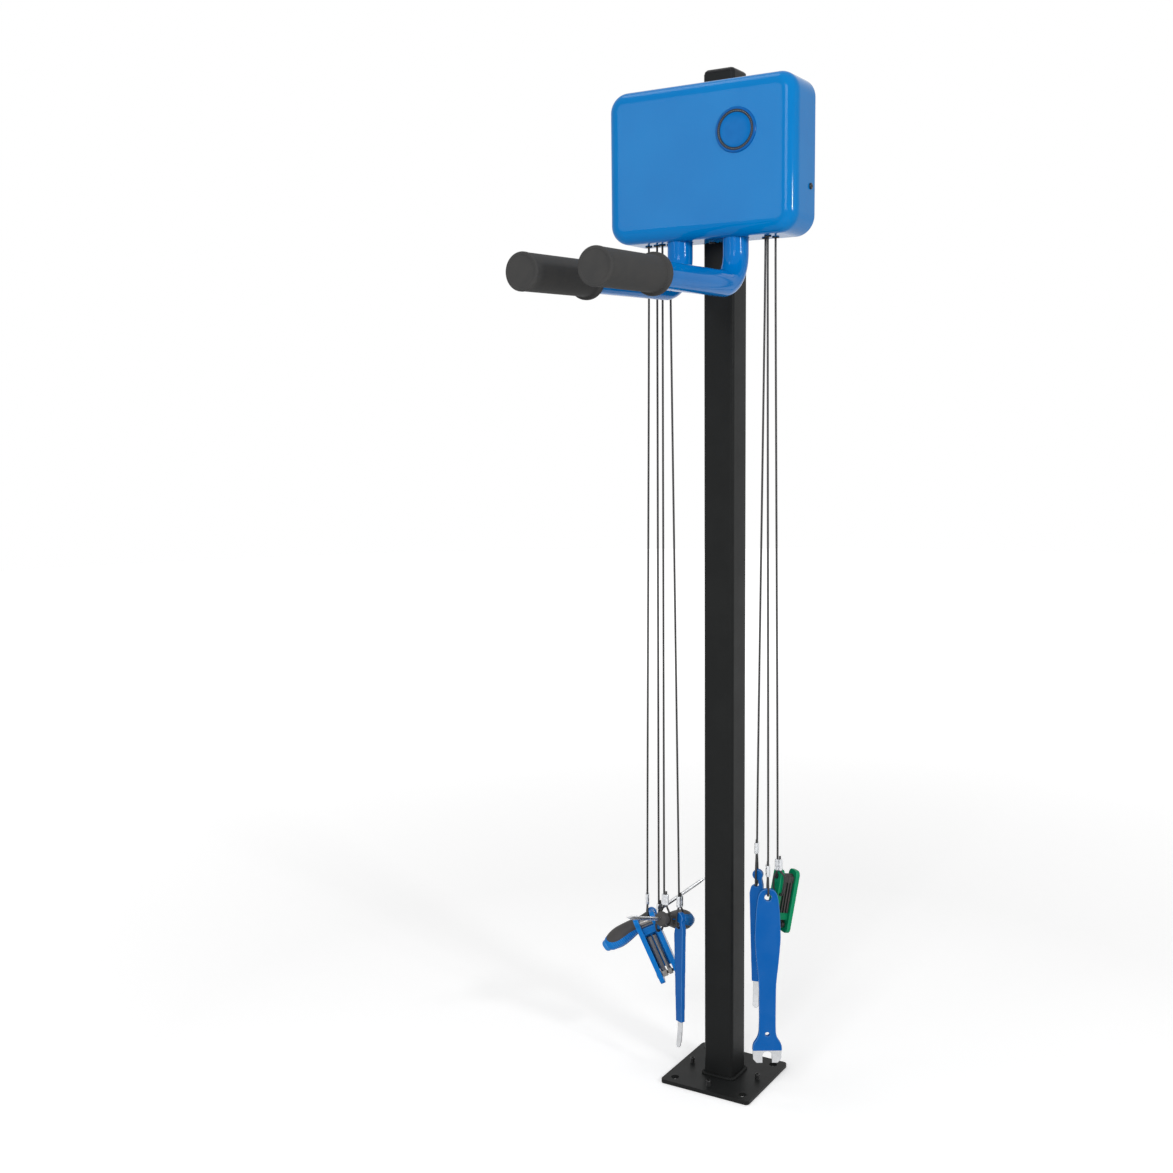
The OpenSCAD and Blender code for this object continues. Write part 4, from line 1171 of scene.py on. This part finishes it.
@dataclass
class Head:
    """Moulded cover, badge and the steel parts behind it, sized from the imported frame, in metres.

    Attributes:
        corner: Corner radius of the cover seen from the front.
        fillet: Radius of the front edge.
        wall: Wall of the cover.
        notch: Gap round the post in the cover's floor and roof.
        steps: Faces round one corner.
        guard: Width of the strip that keeps the flat faces flat in shading.
        rim: Depth of the rounded rear rim.
        arm_hole: Radius of the holes for the arms.
        cable_hole: Radius of the holes for the cables.
        beads: Number of beads in the badge's ring.
        plain: Solid, finish and rounding in millimetres of each part that is copied.
    """

    corner: float = 29 * MM
    fillet: float = 18.5 * MM
    wall: float = 3 * MM
    notch: float = 1 * MM
    steps: int = 14
    guard: float = 1.5 * MM
    rim: float = 0.7 * MM
    arm_hole: float = 20 * MM
    cable_hole: float = 4 * MM
    beads: int = 60
    plain: tuple[tuple[str, Finish, float], ...] = (
        ("back_plate", Finishes.POST, 0.5), ("head_bolts", Finishes.ZINC, 0.4),
        ("frame_nuts", Finishes.ZINC, 0.4), ("clamp_rear", Finishes.ALUMINIUM, 0.8),
        ("clamp_front", Finishes.ALUMINIUM, 0.8), ("clamp_bolts", Finishes.SCREW, 0.4),
        ("cable_bar", Finishes.POST, 0.4), ("cable_stops", Finishes.ZINC, 0.4),
        ("cable_grommets", Finishes.GROMMET, 0.4))

    def build(self, repeater: Repeater) -> None:
        """Make the whole head."""
        self._cover()
        self._badge(repeater)
        self._screws()
        for node, finish, width in self.plain:
            reuse(node, f"{node}_part", finish, "stand", width)

    def _rings(self, inset: float, rear: float) -> list[list[Vector]]:
        """List the cover's rings from its rear rim to its front face.

        Args:
            inset: Distance of this skin inside the outer skin.
            rear: Y of the rear rim.

        Returns:
            The rings, each with the same number of corners.
        """
        low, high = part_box("head_cover")
        centre = ((low[0] + high[0]) / 2, (low[2] + high[2]) / 2)
        width, height, front = high[0] - low[0] - 2 * inset, high[2] - low[2] - 2 * inset, low[1] + inset
        fillet, corner, smallest = self.fillet - inset, self.corner - inset, 0.6 * MM
        stations = [(rear, 0.0), (rear - self.guard, 0.0), (front + fillet + self.guard, 0.0)]
        for angle in (math.radians(90 * i / self.steps) for i in range(self.steps + 1)):
            stations.append((front + fillet * (1 - math.sin(angle)), fillet * (1 - math.cos(angle))))
        stations.append((front, fillet + self.guard))
        rings = []
        for y, draw in stations:
            ring = rounded_outline(width - 2 * draw, height - 2 * draw, max(corner - draw, smallest),
                                   self.steps, self.guard)
            rings.append([Vector((centre[0] + x, y, centre[1] + z)) for x, z in ring])
        return rings

    def _cover(self) -> None:
        """Make the open-backed moulded shell with its openings."""
        low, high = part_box("head_cover")
        outer, inner = (self._rings(inset, high[1] - self.rim) for inset in (0.0, self.wall))
        lips = [[a.lerp(b, share) + Vector((0, self.rim, 0)) for a, b in zip(outer[0], inner[0])]
                for share in (0.3, 0.7)]
        arms = Arms()
        holes = [((side * arms.spread, arms.depth), self.arm_hole) for side in (-1, 1)]
        holes += [(spot, self.cable_hole) for spot in in_metres([t.leave for t in Tethers().all()])]
        cutters = [self._notch_cutter(low, high)]
        for spot, radius in holes:
            profile = [(0, 0), (radius, 0), (radius, 3 * self.wall), (0, 3 * self.wall)]
            cutters.append(lathe("drill", profile, moved((*spot, low[2] - self.wall)), DRILL_SIDES))
        shell = loft("head_cover_shell", outer[::-1] + lips + inner)
        dress(cut(shell, cutters), Finishes.COVER, "stand", ["head_cover"])

    def _notch_cutter(self, low: Sequence[float], high: Sequence[float]) -> Object:
        """Make the block that opens the cover's floor and roof round the post.

        Args:
            low: Lower corner of the cover's box.
            high: Upper corner of the cover's box.

        Returns:
            The block.
        """
        post_low, post_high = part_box("post")
        half, near, rear = post_high[0] + self.notch, post_low[1] - self.notch, high[1] + self.wall
        outline = [(-half, near), (half, near), (half, rear), (-half, rear)]
        rings = [[Vector((x, y, z)) for x, y in outline] for z in (low[2] - self.wall, high[2] + self.wall)]
        return loft("notch_cutter", rings)

    def _badge(self, repeater: Repeater) -> None:
        """Make the plain round badge: blue rim, dark beaded ring and domed blue centre.

        Args:
            repeater: Geometry Nodes that set the beads.
        """
        low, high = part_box("badge_plate")
        place = moved(((low[0] + high[0]) / 2, high[1], (low[2] + high[2]) / 2)) @ turned(rx=90)
        radius, thick = (high[0] - low[0]) / 2, high[1] - low[1]
        ring_out, ring_in, edge = radius - 3.4 * MM, radius - 7.4 * MM, 0.5 * MM
        dome_r, corner_step, flat, bead_level = ring_in - 0.1 * MM, 3, 0.5, 0.8
        crown = [(dome_r * math.cos(a), 0.7 + 0.28 * math.sin(a)) for a in map(math.radians, range(0, 90, 9))]

        def disc(name: str, finish: Finish, profile: Sequence[Pair]) -> None:
            """Turn and dress a disc whose heights are shares of the plate's thickness."""
            piece = lathe(name, [(r, share * thick) for r, share in profile], place)
            dress(piece, finish, "stand", ["badge_plate"])

        disc("badge_rim", Finishes.BADGE_RIM, [
            (0, 0), (radius, 0), (radius, 0.45), (radius - 0.8 * MM, 0.8), (radius - 1.6 * MM, 0.86),
            (ring_out, 0.86), (ring_out - 0.2 * MM, 0.5), (0, 0.5)])
        disc("badge_ring", Finishes.BADGE_RING, [
            (ring_in, 0.4), (ring_out, 0.4), (ring_out, 0.9), (ring_out - edge, 1),
            (ring_out - 2 * edge, 0.8), (ring_in + 2 * edge, 0.8), (ring_in + edge, 1), (ring_in, 0.9),
            (ring_in, 0.4)])
        ring = arc((0, 0), (ring_out + ring_in) / 2, 0, 360 - corner_step, 360 // corner_step - 1)
        bead = lathe("bead", in_metres(((0, -0.7), (0.5, -0.5), (0.72, 0), (0.5, 0.5), (0, 0.7))), sides=8)
        bead.data.transform(Matrix.Diagonal((1, flat, 1, 1)))
        path = [place @ Vector((x, y, thick * bead_level)) for x, y in ring]
        beads = repeater.copies("badge_beads", path, self.beads, bead, Finishes.BADGE_BEAD)
        dress(beads, Finishes.BADGE_BEAD, "stand", ["badge_plate"])
        disc("badge_dome", Finishes.BADGE_DOME, [(0, 0.4), (dome_r, 0.4)] + crown + [(0, 0.98)])

    def _screws(self) -> None:
        """Make the three pan head screws of the cover."""
        low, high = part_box("head_cover")
        side_z, deep = 1403.2 * MM, -36 * MM
        head, height, socket, shank, length, crown, shoulder = 4.5, 2.6, 1.5, 2.4, 6.5, 0.45, 0.72
        profile = [(shank * 0.6, -length), (shank, -length + shank * 0.4), (shank, 0), (head, 0)]
        for angle in (math.radians(15 * i) for i in range(6)):
            profile.append((head * (shoulder + (1 - shoulder) * math.cos(angle)),
                            height * (1 - crown + crown * math.sin(angle))))
        profile.append((socket * 1.35, height))
        places = [moved((low[0], deep, side_z)) @ turned(ry=-90),
                  moved((high[0], deep, side_z)) @ turned(ry=90),
                  moved((-4.6 * MM, deep, low[2])) @ turned(rx=180)]
        for number, place in enumerate(places, 1):
            screw = socket_screw(f"cover_screw_{number}", in_metres(profile), socket * MM,
                                 (height * 0.96 * MM, height * 0.35 * MM), place)
            dress(screw, Finishes.SCREW, "stand", ["cover_screws"])


@dataclass
class Stand:
    """Floor plate, post, weld, cap and levelling screws.

    Attributes:
        weld_leg: Leg of the weld bead in metres.
        beads: Number of ripples in the weld.
        screw_ring: Distance of each levelling screw from the middle in metres.
        screw_radius: Radius of a levelling screw in millimetres.
        screw_low: Height of its lower end in millimetres.
        screw_top: Height of its upper end in millimetres.
        thread: Pitch and depth of its thread in millimetres.
        plain: Solid, finish, rounding in millimetres and faces of the rounding of each part that is copied.
    """

    weld_leg: float = 5 * MM
    beads: int = 84
    screw_ring: float = 58.8 * MM
    screw_radius: float = 4.0
    screw_low: float = 0.6
    screw_top: float = 15.4
    thread: Pair = (1.25, 0.55)
    plain: tuple[tuple[str, Finish, float, int], ...] = (
        ("base_plate", Finishes.POST, 1.0, 3), ("post", Finishes.POST, 0.3, 2),
        ("post_cap", Finishes.CAP, 0.8, 3))

    def build(self, repeater: Repeater) -> None:
        """Make the stand."""
        for node, finish, width, steps in self.plain:
            reuse(node, f"{node}_part", finish, "stand", width, steps)
        self._weld(repeater)
        self._screws(repeater)

    def _weld(self, repeater: Repeater) -> None:
        """Lay the rippled weld bead round the foot of the post."""
        low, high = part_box("post")
        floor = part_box("base_plate")[1][2]
        outward, upward, corner, steps, guard = 0.7, 0.25, 7 * MM, 8, 2 * MM
        half_long, half_thick, size_spread, seed = 1.9 * MM, 3.3 * MM, 0.09, 4
        width = high[0] - low[0] + self.weld_leg * outward
        outline = rounded_outline(width, width, corner, steps, guard)
        path = [Vector((x, y, floor + self.weld_leg * upward)) for x, y in outline]
        bead = lathe("bead", [(0, -1)] + arc((0, 0), 1, -75, 75, 10) + [(0, 1)], sides=14)
        bead.data.transform(Matrix.Diagonal((half_long, half_thick, half_thick, 1)))
        weld = repeater.copies("foot_weld_bead", path, self.beads, bead, Finishes.POST, size_spread, seed)
        dress(weld, Finishes.POST, "stand", ["foot_weld"])

    def _screws(self, repeater: Repeater) -> None:
        """Set the four threaded levelling screws in the floor plate."""
        pitch, depth = self.thread
        radius, low, top, chamfer = self.screw_radius, self.screw_low, self.screw_top, 1.2
        tip, rise, crest, plain, rim, socket, mouth, floor = 1.4, 0.45, 0.6, 3, 2.6, 2, 0.2, 5
        profile = [(radius - tip, low)]
        for base in (low + chamfer + i * pitch for i in range(int((top - low - plain) / pitch))):
            profile += [(radius - depth, base), (radius, base + pitch * rise), (radius, base + pitch * crest)]
        profile += [(radius, top - 1.3), (radius - 0.4, top - 0.5), (radius - chamfer, top), (rim, top)]
        screw = socket_screw("levelling_screw", in_metres(profile), socket * MM,
                             ((top - mouth) * MM, (top - floor) * MM))
        path = [polar(self.screw_ring, a, 0) for a in circle(4)]
        screws = repeater.copies("levelling_screw_set", path, len(path), screw, Finishes.SCREW)
        dress(screws, Finishes.SCREW, "stand", ["levelling_screws"])


@dataclass
class Screwdriver:
    """One two-colour screwdriver, drawn with its nose at the origin and its handle along +Z.

    Attributes:
        letter: Letter in the names of its solids.
        hang: Place of the neck in millimetres.
        yaw: Turn about Z in degrees.
        pitch: Rise of the nose in degrees.
        roll: Turn of the colour panels about the handle in degrees.
        nose: Finish of the ribbed nose.
        neck: Distance from the loop to the nose in millimetres.
        butt: Height of the rounded rear end of the soft panels in millimetres.
        rib_pitch: Distance between two ribs of the window in millimetres.
        profile: Radius and height of the handle's outline in millimetres.
        cap: Radius and height of the end cap's outline in millimetres.
    """

    letter: str
    hang: Point
    yaw: float
    pitch: float
    roll: float
    nose: Finish
    neck: float = 19.0
    butt: float = 95.0
    rib_pitch: float = 3.3
    profile: tuple[Pair, ...] = ((6, 0), (10, 2.5), (12, 6), (11.6, 9), (9, 13), (9, 25), (11, 36),
                                 (14.4, 54), (16.2, 68), (16.5, 76), (15.6, 85), (12.6, 96), (10, 100))
    cap: tuple[Pair, ...] = ((0, 99.6), (9.8, 99.6), (10, 100.4), (9.6, 102.6), (8.6, 104.8), (6.8, 106.4),
                             (4, 107), (0, 107))

    def build(self) -> None:
        """Make the handle, its nose, its soft panels, its cap and its blade."""
        body = f"driver_{self.letter}"
        place = (moved([v * MM for v in self.hang]) @ turned(rz=self.yaw) @ turned(ry=-self.pitch)
                 @ moved((self.neck * MM, 0, 0)) @ turned(ry=-90) @ turned(rz=self.roll))
        curve = self._curve(0.5)
        seam, panel_start = 11.0, 12.0
        nose = in_metres([(0.0, 0.0)] + [p for p in curve if p[1] <= seam] + [(0.0, seam)])
        core = in_metres([(0.0, seam)] + [p for p in curve if p[1] >= seam] + [(0.0, curve[-1][1])])
        soft = [p for p in curve if panel_start <= p[1] <= self.butt]
        pieces = [
            (lathe(f"{body}_nose", nose, place, spread=self._nose_radius), self.nose),
            (lathe(f"{body}_core", core, place, spread=self._core_radius), Finishes.TOOL_BLUE),
            (self._panel(f"{body}_grip_1", soft, 90, place), Finishes.SOFT_GREY),
            (self._panel(f"{body}_grip_2", soft, 270, place), Finishes.SOFT_GREY),
            (lathe(f"{body}_collar", self._collar(), place), Finishes.SOFT_GREY)]
        for piece, finish in pieces:
            dress(piece, finish, body, [f"{body}_handle"])
        dress(lathe(f"{body}_end", in_metres(self.cap), place, 64), Finishes.TOOL_BLUE, body, [f"{body}_cap"])
        reuse(f"{body}_blade", f"{body}_shaft", Finishes.CHROME, body, 0.15)

    def _curve(self, step: float) -> list[Pair]:
        """List the handle's outline as radius and height at even steps, in millimetres."""
        path = smooth_path([(r, z, 0) for r, z in self.profile], 9)
        curve = []
        for level in (step * i for i in range(int(path[-1].y / step) + 1)):
            low = max(k for k, p in enumerate(path[:-1]) if p.y <= level + 1e-6)
            share = (level - path[low].y) / (path[low + 1].y - path[low].y)
            curve.append((path[low].x + share * (path[low + 1].x - path[low].x), level))
        return curve

    @staticmethod
    def _nose_radius(radius: float, height: float, angle: float) -> float:
        """Give the nose its ribs along the handle, deepest at its middle."""
        ribs, deepest, middle, reach = 12, 0.6 * MM, 5.5, 5
        depth = deepest * max(0.0, 1 - abs(height / MM - middle) / reach)
        return radius - depth * (0.5 + 0.5 * math.cos(ribs * angle))

    def _core_radius(self, radius: float, height: float, angle: float) -> float:
        """Keep the core just under the panels and give its windows ribs across the handle."""
        start, fading, deepest, under, side = 33, 6, 0.7 * MM, 0.3 * MM, 0.35
        z = height / MM
        fade = min(1.0, max(0.0, (z - start) / fading), max(0.0, (self.butt - z) / fading))
        ridge = deepest * fade * (0.5 + 0.5 * math.cos(2 * math.pi * z / self.rib_pitch))
        window = max(0.0, abs(math.cos(angle)) - side) / (1 - side)
        return radius - under - ridge * min(1.0, 3 * window)

    @staticmethod
    def _collar() -> list[Pair]:
        """Return the profile of the ribbed neck ring."""
        low, high, bore, middle, rib, pitch, steps = 12.2, 26.2, 8.0, 9.15, 0.35, 2.8, 40
        levels = [low + (high - low) * i / steps for i in range(steps + 1)]
        ribs = [(middle + rib * math.cos(2 * math.pi * (z - low) / pitch), z) for z in levels]
        return in_metres([(bore, low)] + ribs + [(bore, high), (bore, low)])

    def _half_width(self, z: float) -> float:
        """Return half of a soft panel's width in degrees: closed round the neck, rounded at the rear end."""
        shoulder, waist, rise, closed, drawn_in, least = 66, 34, 24, 90.2, 34.0, 2.5
        opening = math.sin(math.pi / 2 * min(max((z - waist) / rise, 0.0), 1.0))
        tail = max(0.0, (z - shoulder) / (self.butt - shoulder))
        return max(least, (closed - drawn_in * opening**0.7) * math.sqrt(max(0.0, 1 - tail**3.4)))

    def _panel(self, name: str, soft: Sequence[Pair], centre: float, place: Matrix) -> Object:
        """Make one raised soft panel on the handle.

        Args:
            name: Name of the piece.
            soft: Profile of the handle under the panel.
            centre: Middle of the panel about the handle, in degrees.
            place: Where the handle's frame stands in the row frame.

        Returns:
            The panel.
        """
        across, sunk, crown, root = 18, 0.45, 0.55, 1.6
        rings = []
        for radius, z in soft[::2]:
            outer, inner = [], []
            for t in (2 * k / across - 1 for k in range(across + 1)):
                angle = math.radians(centre + self._half_width(z) * t)
                outer.append(polar((radius - sunk + crown * (1 - abs(t)**10)) * MM, angle, z * MM))
                inner.append(polar((radius - root) * MM, angle, z * MM))
            rings.append(outer + inner[::-1])
        return loft(name, rings, place, crease=50)


@dataclass
class KeySet:
    """One folding key set: body, pins and keys.

    Attributes:
        kind: Name used in its nodes, hex or star.
        finish: Finish of its body.
        blade: Finish of its keys.
        keys: Endings of the names of its keys.
    """

    kind: str
    finish: Finish
    blade: Finish
    keys: str

    def build(self) -> None:
        """Make the body, the pins and each key."""
        body = f"{self.kind}_set"
        handle = softened(from_node(f"{self.kind}_body", f"{self.kind}_handle"), 0.6 * MM, 7)
        dress(handle, self.finish, body, [f"{self.kind}_body"])
        reuse(f"{self.kind}_pins", f"{self.kind}_screws", Finishes.SCREW, body, 0.35)
        for key in self.keys:
            node = f"{self.kind}_key_{key}"
            reuse(node, f"{node}_blade", self.blade, node, 0.25)


@dataclass
class Lever:
    """One tyre lever: steel bar in a dipped vinyl sleeve.

    Attributes:
        hand: Side that it hangs on, left or right, used in its names.
    """

    hand: str

    def build(self) -> None:
        """Make the sleeve and the steel."""
        body = f"lever_{self.hand}"
        dress(softened(from_node(f"{body}_sleeve", f"{body}_dip")), Finishes.VINYL, body, [f"{body}_sleeve"])
        reuse(f"{body}_steel", f"{body}_bar", Finishes.CHROME, body, 0.6, 3)


@dataclass
class PedalWrench:
    """The pedal wrench: steel plate in a dipped vinyl sleeve, drawn with its hang hole at the origin.

    Attributes:
        hole: Place of the hang hole in millimetres.
        thick: Thickness of the sleeve in metres.
        half_width: Half of the sleeve's width at its lower end in millimetres.
        length: Length of the sleeve below the hole in millimetres.
        shares: Right half of the outline, as shares of the half width and of the length.
        holes: Height and radius of the two holes in millimetres.
    """

    hole: Point = (100.5, -56, 336.8)
    thick: float = 8 * MM
    half_width: float = 23.2
    length: float = 248.0
    shares: tuple[Pair, ...] = ((0, 0.0565), (0.28, 0.052), (0.474, 0.0405), (0.625, 0.0161), (0.72, -0.03),
                                (0.797, -0.1008), (0.862, -0.25), (0.841, -0.3024), (0.733, -0.4234),
                                (0.586, -0.5645), (0.56, -0.7), (0.569, -0.8669), (0.66, -0.9113),
                                (0.948, -0.9597), (1, -1))
    holes: tuple[Pair, ...] = ((0.0, 5.5), (-221.0, 3.5))

    def build(self) -> None:
        """Make the sleeve and the steel."""
        dress(self._sleeve(), Finishes.VINYL, "wrench", ["wrench_sleeve"])
        reuse("wrench_steel", "wrench_plate", Finishes.CHROME, "wrench", 0.5, 3)

    def _sleeve(self) -> Object:
        """Make the smooth sleeve with its two holes."""
        right = smooth_path([(x * self.half_width, 0, z * self.length) for x, z in self.shares], 6)
        left = [Vector((-p.x, 0, p.z)) for p in right[::-1]]
        outline = [p * MM for p in right + left[:-1]]
        half = Vector((0, self.thick / 2, 0))
        place = moved([v * MM for v in self.hole]) @ turned(rz=VIEW_YAW)
        sleeve = loft("wrench_dip", [[p - half for p in outline], [p + half for p in outline]], place)
        drills = []
        for height, radius in in_metres(self.holes):
            profile = [(0, -self.thick), (radius, -self.thick), (radius, self.thick), (0, self.thick)]
            spot = place @ moved((0, 0, height)) @ turned(rx=90)
            drills.append(lathe("drill", profile, spot, DRILL_SIDES))
        return softened(cut(sleeve, drills))


def main() -> None:
    """Build the studio, then every sub-assembly in order."""
    logging.basicConfig(level=logging.INFO, format="%(name)s: %(message)s")
    repeater = Repeater()
    Studio().build()
    Tethers().build(repeater)
    Stand().build(repeater)
    Head().build(repeater)
    Arms().build()
    Screwdriver("a", (-129, -25, 252), VIEW_YAW, 35.0, -122.0, Finishes.TOOL_BLUE).build()
    Screwdriver("b", (-78, -58, 269.5), -92.3, 18.4, 80.9, Finishes.SOFT_GREY).build()
    KeySet("hex", Finishes.TOOL_BLUE, Finishes.KEY, "865432").build()
    KeySet("star", Finishes.TOOL_GREEN, Finishes.DARK_KEY, "1234567").build()
    Lever("left").build()
    Lever("right").build()
    PedalWrench().build()


if __name__ == "__main__":
    main()
